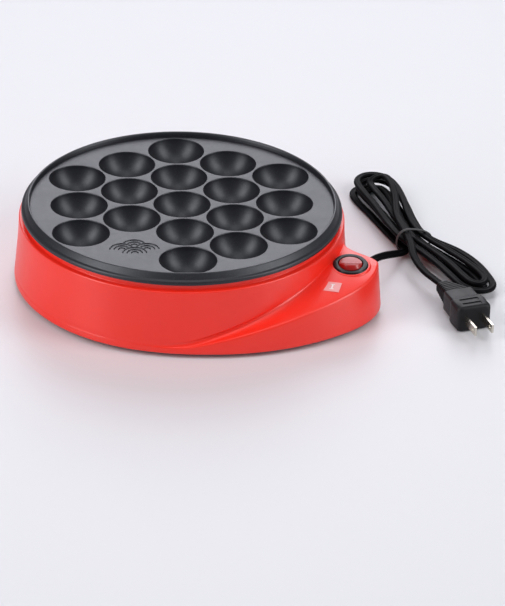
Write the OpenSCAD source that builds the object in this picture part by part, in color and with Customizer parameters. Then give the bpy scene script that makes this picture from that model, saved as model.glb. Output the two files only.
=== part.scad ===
// Electric takoyaki maker: a round casing with a switch pod, a lift-out plate of
// eighteen cups, the heating parts beneath it, and a flat twin mains lead in a hank.
// Millimetres. The pieces are drawn about the plate's axis, with the table at z = 0,
// and seat() moves them so that the body's box is centred on the origin.

/* [Cooking plate] */
// Distance between the centres of neighbouring cups
cup_pitch = 42; // [41.5:0.1:43]
// Diameter of a cup's mouth
cup_mouth = 40.2; // [38:0.1:40.6]
// Depth of a cup below the plate's floor
cup_depth = 17.5; // [15:0.1:18]
// Height of the plate's floor above the table
floor_z = 58; // [57:0.1:60]
// Outside diameter of the plate's flange
plate_d = 227.2; // [226:0.1:228]
// Thickness of the cast plate
plate_t = 2.4; // [2:0.1:2.6]
// Height of the lip above the floor
lip_h = 3.3; // [2:0.1:4]
// Height of the ornament's raised lines
wave_h = 0.6; // [0.4:0.1:1]

/* [Casing] */
// Radius of the wall's top edge
wall_top_r = 115.3; // [115:0.1:116]
// Outward lean of the wall, in millimetres for each millimetre of height
wall_lean = 0.088; // [0.06:0.001:0.1]
// Height of the wall's top edge
ledge_z = 49.3; // [49:0.1:50]
// Radius of the collar below the plate's flange
collar_r = 113.6; // [113.4:0.1:113.8]
// Thickness of the moulded wall
shell_t = 2.5; // [2:0.1:3]
// Height of the casing's bottom edge above the table
skirt_z = 3; // [2.5:0.1:4]

/* [Wing and pod] */
// Angle at which the wing's outer edge leaves the skirt
wing_start = -99.7; // [-102:0.1:-98]
// Height that the wing's outer edge gains for each degree
wing_rise = 0.5; // [0.45:0.01:0.55]
// Angle at which the crease on the wall starts
crease_start = -107.7; // [-110:0.1:-106]
// Height that the crease gains for each degree
crease_rise = 0.536; // [0.5:0.001:0.56]
// Tilt of the pod's top towards the front
pod_tilt = 6.5; // [4:0.1:8]
// Lean of the pod's sides
pod_lean = 0.09; // [0.05:0.01:0.1]
// Place of the switch's centre on the pod's top
switch_at = [115.7, -55, 37];

/* [Switch] */
// Outside diameter of the switch's bezel
bezel_d = 25; // [24:0.1:26]
// Radius of the rocker's ball-shaped flank
rocker_r = 8.7; // [8.5:0.1:8.8]
// Swing of the rocker between its two positions
rocker_swing = 22; // [18:1:24]
// Depth of the rocker's pivot below the pod's top
pivot_depth = 1.4; // [1.2:0.1:1.6]
// Radius of the rocker's pivot pin
pivot_r = 1; // [0.8:0.1:1.2]

/* [Heating] */
// Diameter of the sheathed element
element_d = 6.6; // [6:0.1:7]
// Radius of the element's ring
element_ring = 63; // [60:0.5:66]
// Height of the element's centre
element_z = 33.5; // [33:0.1:34]
// Height of the reflector pan's floor
pan_z = 22; // [21:0.1:23]
// Thickness of the pan's sheet
pan_t = 0.8; // [0.6:0.1:1]

/* [Mains lead] */
// Width of the flat twin lead
lead_w = 5.2; // [5:0.1:5.4]
// Thickness of the flat twin lead
lead_t = 2.8; // [2.6:0.1:3]
// Plan of the hank's tie
tie_at = [169, 40];
// Heading of the hank from its far end to its plug end
hank_heading = -70.4;
// Reach of the runs from the tie, at the far end and at the plug end
run_reach = [83, 71];
// Full and part runs in the hank, counting the half run at each end
hank_runs = 10; // [10:1:10]
// Runs in each layer
runs_per_layer = 3; // [3:1:3]
// Distance of the innermost, middle and outermost run from the middle at the waist
waist = [2.2, 6.2, 10];
// The same distances at the far end
far_fan = [5, 11.4, 14.4];
// The same distances at the plug end
near_fan = [5, 8, 13.4];

/* [Plug] */
// Plan of the middle of the plug's front face
plug_at = [201.1, -84.9];
// Heading of the plug's blades
plug_heading = -73.6;
// Width, length and height of the plug's body
plug_size = [25.4, 17, 19.4];
// Distance between the blades
blade_pitch = 12.7; // [12.7:0.1:12.7]

/* [Hidden] */
$fn = 64;

cup_r = cup_mouth / 2;
cup_ball = (cup_r * cup_r + cup_depth * cup_depth) / (2 * cup_depth);
column_w = cup_pitch * sqrt(3) / 2;
cup_rows = [[0, 2], [1, 1.5], [-1, 1.5], [2, 1], [-2, 1]];
cups = [for (row = cup_rows, step = [0:2 * row[1]])
    if (!(row[0] == -1 && step == 0)) [row[0] * column_w, (step - row[1]) * cup_pitch]];
wave_at = [-column_w, -1.5 * cup_pitch];
flange_z = floor_z - 4.3;
pan_rim_z = flange_z + 0.5;
pod_front = -121;
pod_back = -10;
pod_corner = -25;
front_blend = 4;
back_blend = 16;
feet = [-35, 45, 135, 225];
foot_r = 96;
boss_angles = [20, 80, 140, 200, 250, -72];
boss_ring = 110.5;
boss_h = 17;
cover_t = 2;
cover_z = skirt_z + 0.4;
element_gap = 32;
pod_angle = -33;
leg_bend = 9;
leg_bottom = 14;

// ---- small helpers ----

function clamp01(x) = min(1, max(0, x));
function unit(v) = v / norm(v);
function heading(a) = [cos(a), sin(a)];

// The lower of two values, and the higher, blended over a width of k.
function soft_min(a, b, k) = let (h = max(k - abs(a - b), 0) / k) min(a, b) - h * h * k / 4;
function soft_max(a, b, k) = -soft_min(-a, -b, k);

// Distance from the axis to a circle or to a straight edge, along the angle a.
function to_circle(a, centre, r) =
    let (c = centre * heading(a))
    c + sqrt(r * r - centre * centre + c * c);
function to_edge(a, normal_angle, offset) = offset / max(0.01, cos(a - normal_angle));

// Triangles between one ring of points and the next, and over a ring.
function band(first, second, n) = [for (i = [0:n - 1], half = [0, 1])
    let (j = (i + 1) % n)
    half == 0 ? [first + i, first + j, second + j] : [first + i, second + j, second + i]];
function cap(first, n, flip) = [for (i = [1:n - 2])
    flip ? [first, first + i + 1, first + i] : [first, first + i, first + i + 1]];

// ---- the tube that a lead or a wire is ----

function direction(path, i) = unit(path[min(i + 1, len(path) - 1)] - path[max(i - 1, 0)]);
function side_of(t) = unit(cross(t, abs(t[2]) > 0.9 ? [1, 0, 0] : [0, 0, 1]));
function tube_ring(path, i, section) =
    let (t = direction(path, i), s = side_of(t), up = cross(s, t))
    [for (p = section) path[i] + p[0] * s + p[1] * up];
function round_section(d, sides) = [for (i = [0:sides - 1]) d / 2 * heading(i * 360 / sides)];
function flat_section(w, t, sides) =
    [for (i = [0:sides - 1]) let (h = heading(i * 360 / sides)) [h[0] * w, h[1] * t] / 2];

// A smooth line through a few points, with a straight stretch at each end.
function smooth_at(p, i, t) =
    let (a = p[max(i - 1, 0)], b = p[i], c = p[i + 1], d = p[min(i + 2, len(p) - 1)])
    0.5 * (2 * b + t * (c - a) + t * t * (2 * a - 5 * b + 4 * c - d) + t * t * t * (3 * b - a - 3 * c + d));
function smooth(p, steps) = concat([p[0]],
    [for (i = [1:len(p) - 3], k = [0:steps - 1]) smooth_at(p, i, k / steps)],
    [p[len(p) - 2], p[len(p) - 1]]);

module tube(path, section) {
    n = len(section);
    last = len(path) - 1;
    points = [for (i = [0:last]) each tube_ring(path, i, section)];
    sides = [for (i = [0:last - 1]) each band(i * n, (i + 1) * n, n)];
    polyhedron(points, concat(cap(0, n, true), sides, cap(last * n, n, false)));
}

// ---- casing: a section for each angle round the axis, joined into one shell ----

// Radius of the plain wall at a height.
function wall_r(z) = wall_top_r + wall_lean * soft_max(0, 41 - z, 12);
// Radius of the pod's outline at the table's height: flank, end and back edge.
function pod_r(a) = a < pod_front || a > pod_back ? 0 : soft_min(
    soft_min(to_circle(a, [21, 34], 155), to_circle(a, [39, -42], 100), 10),
    to_edge(a, 52.3, 46.9), 10);
function pod_lift(a, z) = soft_max(wall_r(z), pod_r(a) - pod_lean * (z - skirt_z),
    a > pod_corner ? back_blend : front_blend);
// Height of the pod's tilted top at a distance y behind the axis.
function pod_top(y) = switch_at[2] + tan(pod_tilt) * (y - switch_at[1]);
function edge_z(a) = let (rise = skirt_z + wing_rise * (a - wing_start),
        top = pod_top(sin(a) * pod_lift(a, 30)))
    soft_max(soft_min(rise, top, 6), 7.5, 3);
function crease_z(a) = let (rise = skirt_z + crease_rise * (a - crease_start),
        lip = 0.5 + 2.2 * clamp01((-20 - a) / 10), top = pod_top(sin(a) * 116) + lip)
    soft_max(soft_min(rise, top, 6), 11, 3);
function turned(a) = a > pod_back ? a - 360 * floor((a + 180) / 360) : a;

// The closed section of the shell at an angle, as [radius, height], from the collar's
// inner corner down the outside and up the inside.
function casing_section(a) =
    let (back = a > pod_back ? min(1, (a - pod_back) / 200) : 0,
        crease = a > pod_back ? 41.5 - 30.5 * back : crease_z(a),
        edge = a > pod_back ? 40.2 - 32.7 * back : min(edge_z(a), crease_z(a) - 2.4),
        foot = pod_lift(a, skirt_z), edge_r = pod_lift(a, edge), wall = wall_r(crease),
        width = max(0, edge_r - wall_r(edge)), strength = clamp01(width / 4),
        scoop = min(0.9 * width, 9.5 * clamp01((-22 - a) / 24)),
        under_r = wall - 1.2 * strength * clamp01((-20 - a) / 10), under_z = crease - 0.7 - 0.7 * strength,
        flat_r = max(wall_r(edge), under_r + scoop + 1.2 * strength),
        flat_z = min(under_z - 0.5, edge + 0.4 + 0.1 * (edge_r - flat_r)))
    [[collar_r - 3.2, flange_z - 0.3], [collar_r - 0.8, flange_z - 0.3], [collar_r, flange_z - 1],
        [collar_r, ledge_z + 0.3], [wall_top_r - 0.9, ledge_z], [wall_top_r, ledge_z - 0.8],
        [wall_r((ledge_z + crease) / 2), (ledge_z + crease) / 2], [wall, crease], [under_r, under_z],
        for (s = [30, 60])
            [under_r + (flat_r - under_r) * (1 - cos(s)), flat_z + (under_z - flat_z) * (1 - sin(s))],
        [flat_r, flat_z], [edge_r - strength, edge], [edge_r, edge - 0.4 - strength],
        [foot, skirt_z + 1.5], [foot - 1.5, skirt_z], [foot - 1.5 - shell_t, skirt_z],
        [edge_r - shell_t, edge - shell_t - strength],
        [flat_r - shell_t + 1.5 * strength, flat_z - shell_t],
        [under_r - shell_t, flat_z + 0.5], [wall - shell_t, crease + 1.5], [112.8, 47], [collar_r - 3.2, 47]];

// Finer steps where the pod's end and back edge turn quickly.
casing_angles = concat([for (i = [1:20]) -108 + 4 * i], [for (i = [1:20]) -28 + 0.8 * i],
    [for (i = [1:44]) -12 + 6 * i]);
outline = [for (a = casing_angles) pod_lift(turned(a), skirt_z) * heading(a)];
low = [min([for (p = outline) p[0]]), min([for (p = outline) p[1]])];
high = [max([for (p = outline) p[0]]), max([for (p = outline) p[1]])];

module seat() {
    translate([-(low[0] + high[0]) / 2, -(low[1] + high[1]) / 2, 0])
        children();
}

module ring_of(angles, r) {
    for (a = angles)
        rotate([0, 0, a])
            translate([r, 0, 0])
                children();
}

module on_pod() {
    translate(switch_at)
        rotate([pod_tilt, 0, 0])
            children();
}

module casing_shell() {
    sections = [for (a = casing_angles) casing_section(turned(a))];
    n = len(sections[0]);
    rings = len(casing_angles);
    points = [for (i = [0:rings - 1], p = sections[i])
        [p[0] * cos(casing_angles[i]), p[0] * sin(casing_angles[i]), p[1]]];
    polyhedron(points, [for (i = [0:rings - 1]) each band(((i + 1) % rings) * n, i * n, n)]);
}

// Where the lead leaves the pod's back, and which way it heads.
exit_at = [123.2, -36.6, 17];
exit_heading = 66;
exit_dir = [cos(exit_heading), sin(exit_heading), 0];

// The label lies on the pod's top, in a shallow pocket.
label_at = [101, -80];

function skin_z(p) = let (a = atan2(p[1], p[0]), edge = edge_z(a))
    edge + 0.4 + 0.1 * (pod_lift(a, edge) - norm(p));

module label_plate(h) {
    slope_x = (skin_z(label_at + [4, 0]) - skin_z(label_at - [4, 0])) / 8;
    slope_y = (skin_z(label_at + [0, 4]) - skin_z(label_at - [0, 4])) / 8;
    translate([label_at[0], label_at[1], skin_z(label_at) - 0.3])
        rotate([atan(slope_y), -atan(slope_x), -18])
            translate([-5.7, -5, 0])
                cube([11.4, 10, h]);
}

module at_exit() {
    translate(exit_at)
        rotate([0, 90, exit_heading])
            children();
}

module casing() {
    color([0.9, 0.2, 0.16])
        difference() {
            union() {
                casing_shell();
                on_pod()
                    translate([0, 0, -1.5])
                        cylinder(r = 14.2, h = 2.3);
                ring_of(boss_angles, boss_ring)
                    translate([0, 0, cover_z + cover_t]) {
                        cylinder(r = 4, h = boss_h);
                        translate([0, -1, 0])
                            cube([wall_top_r + 1.4 - boss_ring, 2, boss_h]);
                    }
            }
            on_pod()
                translate([0, 0, -8])
                    cylinder(r = 10.2, h = 20);
            at_exit() {
                translate([0, 0, -12])
                    cylinder(r = 5.2, h = 24);
                translate([0, 0, 1.8])
                    cylinder(r = 6.8, h = 12);
            }
            label_plate(4);
            ring_of(boss_angles, boss_ring)
                cylinder(r = 1.3, h = 20);
        }
}

// ---- underside ----

module bottom_cover() {
    color([0.16, 0.16, 0.17])
        difference() {
            translate([0, 0, cover_z])
                linear_extrude(cover_t)
                    polygon([for (i = [0:len(outline) - 1])
                        outline[i] - (shell_t + 1.8) * heading(casing_angles[i])]);
            ring_of(boss_angles, boss_ring)
                cylinder(r = 1.6, h = 20);
            for (a = [0:30:330])
                rotate([0, 0, a])
                    translate([44, -1.5, 0])
                        cube([34, 3, 20]);
        }
}

module foot() {
    color([0.08, 0.08, 0.08])
        union() {
            cylinder(r1 = 7, r2 = 8, h = 2.6);
            translate([0, 0, 2.6])
                cylinder(r = 8, h = cover_z - 2.6);
        }
}

module cover_screws() {
    color([0.7, 0.7, 0.72])
        ring_of(boss_angles, boss_ring) {
            translate([0, 0, cover_z - 1.6])
                cylinder(r = 2.8, h = 1.6);
            translate([0, 0, cover_z])
                cylinder(r = 1.3, h = 12);
        }
}

// ---- heating ----

leg_angles = [pod_angle - element_gap / 2, pod_angle + element_gap / 2];
clip_angles = [60, 147, 234];

// Draws its children at both legs of the element, z along the leg.
module at_legs() {
    for (side = [0, 1])
        rotate([0, 0, leg_angles[side]])
            translate([element_ring, (side == 0 ? 1 : -1) * leg_bend, 0])
                children();
}

module reflector() {
    color([0.78, 0.79, 0.8])
        difference() {
            rotate_extrude($fn = 180)
                polygon([[0, pan_z], [98, pan_z], [107.6, flange_z - 0.3], [111.5, flange_z - 0.3],
                    [111.5, pan_rim_z], [106.8, pan_rim_z], [97.4, pan_z + pan_t], [0, pan_z + pan_t]]);
            at_legs()
                translate([0, 0, pan_z - 2])
                    cylinder(r = 5, h = 5);
            ring_of(clip_angles, element_ring - 9)
                translate([0, 0, pan_z - 2])
                    cylinder(r = 1.6, h = 5);
        }
}

module element_ring_solid() {
    translate([0, 0, element_z])
        rotate([0, 0, leg_angles[1]])
            rotate_extrude(angle = 360 - element_gap, $fn = 180)
                translate([element_ring, 0])
                    circle(r = element_d / 2);
}

module heating_element() {
    leg_top = element_z - leg_bend;
    color([0.36, 0.35, 0.34])
        union() {
            element_ring_solid();
            for (side = [0, 1])
                rotate([0, 0, leg_angles[side]])
                    translate([element_ring, 0, leg_top])
                        rotate([90, 0, side == 0 ? 90 : -90])
                            rotate_extrude(angle = 90)
                                translate([leg_bend, 0])
                                    circle(r = element_d / 2 + 0.3);
            at_legs()
                translate([0, 0, leg_bottom])
                    cylinder(r = element_d / 2, h = leg_top - leg_bottom);
        }
}

module element_clips() {
    color([0.72, 0.73, 0.74])
        difference() {
            ring_of(clip_angles, element_ring) {
                translate([-5, -2.5, pan_z + pan_t])
                    cube([10, 5, element_z + element_d / 2 + 0.8 - pan_z - pan_t]);
                translate([-13, -4, pan_z + pan_t])
                    cube([9, 8, 1]);
            }
            element_ring_solid();
            ring_of(clip_angles, element_ring - 9)
                translate([0, 0, pan_z])
                    cylinder(r = 1.6, h = 5);
        }
}

module reflector_screws() {
    color([0.7, 0.7, 0.72])
        ring_of(clip_angles, element_ring - 9) {
            translate([0, 0, pan_z + pan_t + 1])
                cylinder(r = 2.8, h = 1.6);
            translate([0, 0, pan_z - 4])
                cylinder(r = 1.5, h = pan_t + 5);
        }
}

module element_bushings() {
    color([0.93, 0.91, 0.86])
        difference() {
            at_legs() {
                translate([0, 0, pan_z - 3])
                    cylinder(r = 7, h = 3);
                translate([0, 0, pan_z])
                    cylinder(r = 5, h = pan_t + 1.4);
            }
            at_legs()
                translate([0, 0, pan_z - 5])
                    cylinder(r = element_d / 2, h = 12);
        }
}

module element_tabs() {
    color([0.75, 0.62, 0.3])
        at_legs()
            translate([-3.15, -0.4, leg_bottom - 7])
                cube([6.3, 0.8, 7]);
}

thermostat_at = [38, -18];

module thermostat() {
    color([0.2, 0.2, 0.21])
        translate([thermostat_at[0], thermostat_at[1], pan_z - 8])
            cylinder(r = 8, h = 8);
    color([0.75, 0.62, 0.3])
        for (x = [-5, 5])
            translate([thermostat_at[0] + x - 0.4, thermostat_at[1] - 3, pan_z - 14])
                cube([0.8, 6, 6]);
}

fuse_at = [72, -55.5, 10];
fuse_heading = 150;
fuse_l = 12;

module thermal_fuse() {
    color([0.85, 0.84, 0.8])
        translate(fuse_at)
            rotate([0, 90, fuse_heading])
                cylinder(r = 2.2, h = fuse_l);
}

// ---- internal wires: hand-laid routes from tab to tab ----

wire_d = 2.2;
fuse_end = fuse_at + fuse_l * [cos(fuse_heading), sin(fuse_heading), 0];
live_route = [[118.9, -49.5, 17], [118.1, -51.3, 17], [117.3, -54, 18], [118.3, -55.4, 19.4],
    [120.3, -55.4, 19.4]];
neutral_route = [[116.5, -48.4, 17], [115.7, -50.2, 17], [113.5, -53, 14.5], [106, -57, 10.4],
    [94, -60, 9], [82, -60, 9.5], [fuse_at[0] + 1.7, fuse_at[1] - 1, fuse_at[2]], fuse_at];
switched_route = [[110.3, -54, 19.4], [108.3, -54, 19.4], [98, -47, 11], [84, -30, 9], [62, -12, 9],
    [42, -5, 9], [28, -8, 9.5], [30.4, -18, 11], [32.6, -18, 11]];
thermostat_route = [[43.4, -18, 11], [45.4, -18, 11], [49, -22.5, 10.6], [52.7, -25.5, 10.5],
    [54.6, -26.1, 10.5]];
fuse_route = [fuse_end, [59.9, -48.5, 10], [55.5, -48, 10.3], [51.5, -45.5, 10.5], [50.2, -44, 10.5]];

module wire(route) {
    tube(smooth(route, 3), round_section(wire_d, 8));
}

module live_wire() {
    color([0.12, 0.12, 0.13])
        wire(live_route);
}

module neutral_wire() {
    color([0.9, 0.9, 0.88])
        wire(neutral_route);
}

module switched_wire() {
    color([0.6, 0.1, 0.08])
        wire(switched_route);
}

module heater_wires() {
    color([0.85, 0.85, 0.82]) {
        wire(thermostat_route);
        wire(fuse_route);
    }
}

// ---- cooking plate ----

// One scale of the wave pattern, as flat rings.
wave_rings = [8.8, 5.8, 2.8];

module wave_scale() {
    difference() {
        for (r = wave_rings)
            difference() {
                circle(r = r);
                circle(r = r - 1);
            }
        translate([-10, -20])
            square([20, 20]);
    }
}

module wave_relief() {
    rows = [[[0, 1.5]], [[-8.8, -4], [8.8, -4]], [[0, -9.5]]];
    translate([wave_at[0], wave_at[1], floor_z - 0.2])
        linear_extrude(wave_h + 0.2)
            for (i = [0:2])
                difference() {
                    for (p = rows[i])
                        translate(p)
                            wave_scale();
                    if (i < 2)
                        for (p = rows[i + 1])
                            translate(p)
                                circle(r = wave_rings[0]);
                }
}

module cooking_plate() {
    flange_r = plate_d / 2;
    color([0.13, 0.13, 0.15])
        difference() {
            union() {
                rotate_extrude($fn = 180)
                    polygon([[0, floor_z - plate_t], [106, floor_z - plate_t], [107.2, pan_rim_z],
                        [111.8, pan_rim_z], [111.8, flange_z], [flange_r, flange_z],
                        [flange_r - 0.6, flange_z + 2.6], [flange_r - 2.1, flange_z + 3.1],
                        [109.4, floor_z + lip_h - 0.3], [109.1, floor_z + lip_h], [108, floor_z + lip_h],
                        [107.6, floor_z + lip_h - 0.4], [107.2, floor_z], [0, floor_z]]);
                intersection() {
                    for (c = cups)
                        translate([c[0], c[1], floor_z - cup_depth + cup_ball])
                            sphere(r = cup_ball + 2);
                    cylinder(r = 120, h = floor_z - plate_t / 2);
                }
                wave_relief();
            }
            for (c = cups)
                translate([c[0], c[1], floor_z - cup_depth + cup_ball])
                    sphere(r = cup_ball);
        }
}

// ---- switch ----

housing_depth = 14;
tab_l = 5.5;

module switch_housing() {
    color([0.1, 0.1, 0.11])
        on_pod()
            difference() {
                union() {
                    translate([0, 0, 0.8])
                        cylinder(r1 = bezel_d / 2, r2 = bezel_d / 2 - 0.9, h = 1);
                    translate([0, 0, -housing_depth])
                        cylinder(r = 10, h = housing_depth + 0.8);
                }
                translate([0, 0, -housing_depth + 1.5])
                    cylinder(r = rocker_r + 0.3, h = 20);
                translate([-10.1, 0, -pivot_depth])
                    rotate([0, 90, 0])
                        cylinder(r = pivot_r, h = 20.2);
            }
}

module rocker() {
    half = rocker_swing / 2;
    crest = 3.2;
    color([0.75, 0.08, 0.06])
        on_pod()
            translate([0, 0, -pivot_depth])
                rotate([-half, 0, 0])
                    difference() {
                        sphere(r = rocker_r);
                        translate([-15, 0, crest])
                            rotate([half, 0, 0])
                                cube([30, 20, 20]);
                        translate([-15, 0, crest])
                            rotate([-half, 0, 0])
                                translate([0, -20, 0])
                                    cube([30, 20, 20]);
                        translate([-15, -15, -30 - 4])
                            cube([30, 30, 30]);
                        translate([-15, 0, 0])
                            rotate([0, 90, 0])
                                cylinder(r = pivot_r + 0.05, h = 30);
                    }
}

module rocker_pin() {
    color([0.75, 0.76, 0.78])
        on_pod()
            translate([-9.9, 0, -pivot_depth])
                rotate([0, 90, 0])
                    cylinder(r = pivot_r, h = 19.8);
}

module switch_tabs() {
    color([0.75, 0.62, 0.3])
        on_pod()
            for (x = [-5, 5])
                translate([x - 0.4, -3.15, -housing_depth - tab_l])
                    cube([0.8, 6.3, tab_l]);
}

module switch_lamp() {
    color([1, 0.45, 0.2])
        on_pod()
            translate([-4, 0, -housing_depth + 3.5])
                rotate([0, 90, 0])
                    cylinder(r = 2, h = 8);
}

module position_label() {
    color([0.85, 0.3, 0.28])
        label_plate(0.5);
}

// ---- mains lead ----

relief_l = 16;
table_gap = lead_t / 2;
relief_tip = exit_at + (relief_l + 2) * exit_dir;
inner_end = 13.5;
clamp_middle = 10;

module cord_relief() {
    color([0.07, 0.07, 0.08])
        at_exit()
            difference() {
                union() {
                    translate([0, 0, -3])
                        cylinder(r = 5.2, h = 5);
                    translate([0, 0, 2])
                        cylinder(r1 = 6.4, r2 = 4.2, h = relief_l);
                    translate([0, 0, -6])
                        cylinder(r = 6.4, h = 3);
                }
                for (z = [5:3:14])
                    translate([0, 0, z])
                        difference() {
                            cylinder(r = 9, h = 1.2);
                            cylinder(r = 3.8, h = 1.2);
                        }
            }
}

module cord_inner() {
    color([0.07, 0.07, 0.08])
        tube([for (s = [0:3]) exit_at - (6 + (inner_end - 6) * s / 3) * exit_dir],
            flat_section(lead_w, lead_t, 8));
}

module at_clamp() {
    translate([exit_at[0] - clamp_middle * exit_dir[0], exit_at[1] - clamp_middle * exit_dir[1], 0])
        rotate([0, 0, exit_heading])
            children();
}

clamp_top = exit_at[2] + 3.5;

module cord_clamp() {
    color([0.2, 0.2, 0.21])
        at_clamp()
            difference() {
                translate([-2.5, -8, cover_z + cover_t])
                    cube([5, 16, clamp_top - cover_z - cover_t]);
                translate([-6, -lead_w / 2, exit_at[2] - lead_t / 2])
                    cube([12, lead_w, lead_t]);
                for (y = [-5.6, 5.6])
                    translate([0, y, 0])
                        cylinder(r = 1.25, h = 30);
            }
}

module clamp_screws() {
    color([0.7, 0.7, 0.72])
        at_clamp()
            for (y = [-5.6, 5.6])
                translate([0, y, clamp_top]) {
                    cylinder(r = 2.2, h = 1.3);
                    translate([0, 0, -10])
                        cylinder(r = 1.25, h = 10);
                }
}

// The hank. u runs along it towards the plug, v across it away from the casing, and the
// tie is at u = 0. Each run goes from one end to the other, and a half turn joins it to
// the next on the other side. The runs spiral in for three and out for three, and climb
// a layer in the half turn at which the spiral reverses.
layer_step = lead_t + 0.7;
tie_t = 0.8;
tie_gap = 0.3;
along = [heading(hank_heading)[0], heading(hank_heading)[1], 0];
across = [-along[1], along[0], 0];

function hank_point(u, v, z) = [tie_at[0], tie_at[1], z] + u * along + v * across;
// Share of the way to the end of a run, and of its spread: none at the waist, all at the end.
function share(u) = clamp01(u > 0 ? u / run_reach[1] : -u / run_reach[0]);
function spread(u) = pow(sin(90 * share(u)), 2);
function rank(run) = let (k = run % (2 * runs_per_layer)) k < runs_per_layer
    ? runs_per_layer - 1 - k : k - runs_per_layer;
function side(run) = run % 2 == 0 ? -1 : 1;
function layer(run) = floor(run / runs_per_layer);
// The middle of the hank bends away from the casing, most at the plug end, and at the far
// end each layer lies a little further over.
function middle_v(u, layer = 0) =
    2 + (u > 0 ? 12.8 * sin(90 * share(u)) : (5 + 1.8 * layer) * spread(u));
// The outermost run on the far side bulges at the plug end.
function bulge(run, u) = run % 6 == 5 && u > 0 ? 6 * sin(180 * clamp01(u / 60)) : 0;
// The last run lies on top of the others and crosses to the near side, where the plug is.
function lane_at_waist(run) = run == hank_runs - 1 ? -6.5 : side(run) * waist[rank(run)];
function run_v(run, u) =
    let (at_waist = lane_at_waist(run), at_end = side(run) * (u > 0 ? near_fan : far_fan)[rank(run)])
    middle_v(u, layer(run)) + bulge(run, u) + at_waist + (at_end - at_waist) * spread(u);
// Height of a run: the tie's strap lifts the waist, and the layers part at the far end.
function waist_lift(u) = (tie_t + tie_gap) * (1 - spread(min(3 * abs(u), 100)));
function run_z(run, u) = table_gap + waist_lift(u) + (layer_step + (u < 0 ? spread(u) : 0)) * layer(run);
function station(run, i) = side(run) * i * (side(run) * i > 0 ? run_reach[1] : run_reach[0]) / 3;
function run_points(run, stations) = [for (u = stations) hank_point(u, run_v(run, u), run_z(run, u))];
// How far a half turn reaches beyond a round one: upper layers lie further out, and of the
// turns that climb to the next layer, the one at the plug end goes round the others.
function reach_more(run) = run % runs_per_layer == runs_per_layer - 1
    ? 2.3 * (1 + side(run)) : 1.2 + (side(run) > 0 ? 1.3 : 0.8) * layer(run);
// The half turn after a run, at the end where the run stops.
function turn_points(run) =
    let (end = side(run), u = station(run, 3), a = run_v(run, u), b = run_v(run + 1, u),
        z = run_z(run, u), next_z = run_z(run + 1, u), reach = abs(a - b) / 2 + reach_more(run))
    [for (i = [1:7]) let (t = i * 22.5) hank_point(u + end * reach * sin(t),
        (a + b) / 2 + (a - b) / 2 * cos(t), z + (next_z - z) * (i - 1) / 7)];
hank_start = 2;
// Where the last run ends, on its way to the near side.
hank_end = [11, -7];
hank_path = concat(
    run_points(0, [hank_start, station(0, 0.5), for (i = [1:3]) station(0, i)]), turn_points(0),
    [for (run = [1:hank_runs - 2]) each concat(
        run_points(run, [for (i = [-3:3]) station(run, i)]), turn_points(run))],
    run_points(hank_runs - 1, [for (i = [-3:0]) station(1, i)]),
    [hank_point(hank_end[0], hank_end[1], run_z(hank_runs - 1, hank_end[0]))]);

// Least gap between two places on the hank that lie more than a few rings apart.
function gap(p, q) = max(norm([p[0] - q[0], p[1] - q[1]]) - lead_w, abs(p[2] - q[2]) - lead_t);
function total(v, i = 0) = i == len(v) ? 0 : v[i] + total(v, i + 1);
function length_of(path) = total([for (i = [1:len(path) - 1]) norm(path[i] - path[i - 1])]);
hank_fine = smooth(hank_path, 3);
echo(hank_least_gap = min([for (i = [0:len(hank_fine) - 1], j = [i + 16:1:len(hank_fine) - 1])
    gap(hank_fine[i], hank_fine[j])]));

hank_first = unit(hank_path[1] - hank_path[0]);
lead_route = [relief_tip, relief_tip + lead_w * exit_dir, [137.5, -4, 15.2], [146.4, 8.2, 12.6],
    [154.5, 17.4, 9.2], [161.2, 24.4, 5.4], hank_path[0] - lead_w * hank_first, hank_path[0]];
lead_path = smooth(lead_route, 3);

module cord_lead() {
    color([0.07, 0.07, 0.08])
        tube(lead_path, flat_section(lead_w, lead_t, 8));
}

module cord_hank() {
    color([0.07, 0.07, 0.08])
        tube(hank_path, flat_section(lead_w, lead_t, 6));
}

// The tie's outline, with its upper corners cut.
module tie_outline(w, low, high) {
    corner = 4.5;
    polygon([[-w, low], [w, low], [w, high - corner], [w - corner, high],
        [corner - w, high], [-w, high - corner]]);
}

module cord_tie() {
    w = waist[2] + lead_w / 2 + 1.2;
    h = layer_step * 4 + tie_gap + 0.7;
    color([0.1, 0.1, 0.11])
        translate(hank_point(0, middle_v(0), 0))
            rotate([90, 0, hank_heading + 90])
                translate([0, 0, -1.2])
                    linear_extrude(2.4)
                        difference() {
                            tie_outline(w + tie_t, 0, h + 2 * tie_t);
                            tie_outline(w, tie_t, h + tie_t);
                        }
}

// ---- plug ----

plug_z = plug_size[2] / 2;
plug_dir = [cos(plug_heading), sin(plug_heading), 0];
neck = [21.6, 15, 16];
relief_ribs = 5;
ribbed_l = 21;
// The ribbed part bends towards the hank.
ribbed_turn = 9;
relief_dir = [cos(plug_heading + ribbed_turn), sin(plug_heading + ribbed_turn), 0];
relief_back = [plug_at[0], plug_at[1], plug_z] - (plug_size[1] + neck[1]) * plug_dir
    - ribbed_l * relief_dir;

module at_plug() {
    translate([plug_at[0], plug_at[1], plug_z])
        rotate([0, 0, plug_heading])
            children();
}

module box_between(x0, x1, w, h) {
    translate([x0, -w / 2, -h / 2])
        cube([x1 - x0, w, h]);
}

module plug_body() {
    color([0.07, 0.07, 0.08])
        at_plug()
            difference() {
                union() {
                    box_between(-plug_size[1], 0, plug_size[0], plug_size[2]);
                    box_between(-plug_size[1] - neck[1], -plug_size[1], neck[0], neck[2]);
                }
                for (x = [-13, -7], z = [-1, 1])
                    translate([x, -7, z * plug_size[2] / 2 - 0.6])
                        cube([4, 14, 1.2]);
                for (y = [-blade_pitch / 2, blade_pitch / 2])
                    translate([-8, y - 0.75, -3.15])
                        cube([9, 1.5, 6.3]);
            }
}

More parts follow.
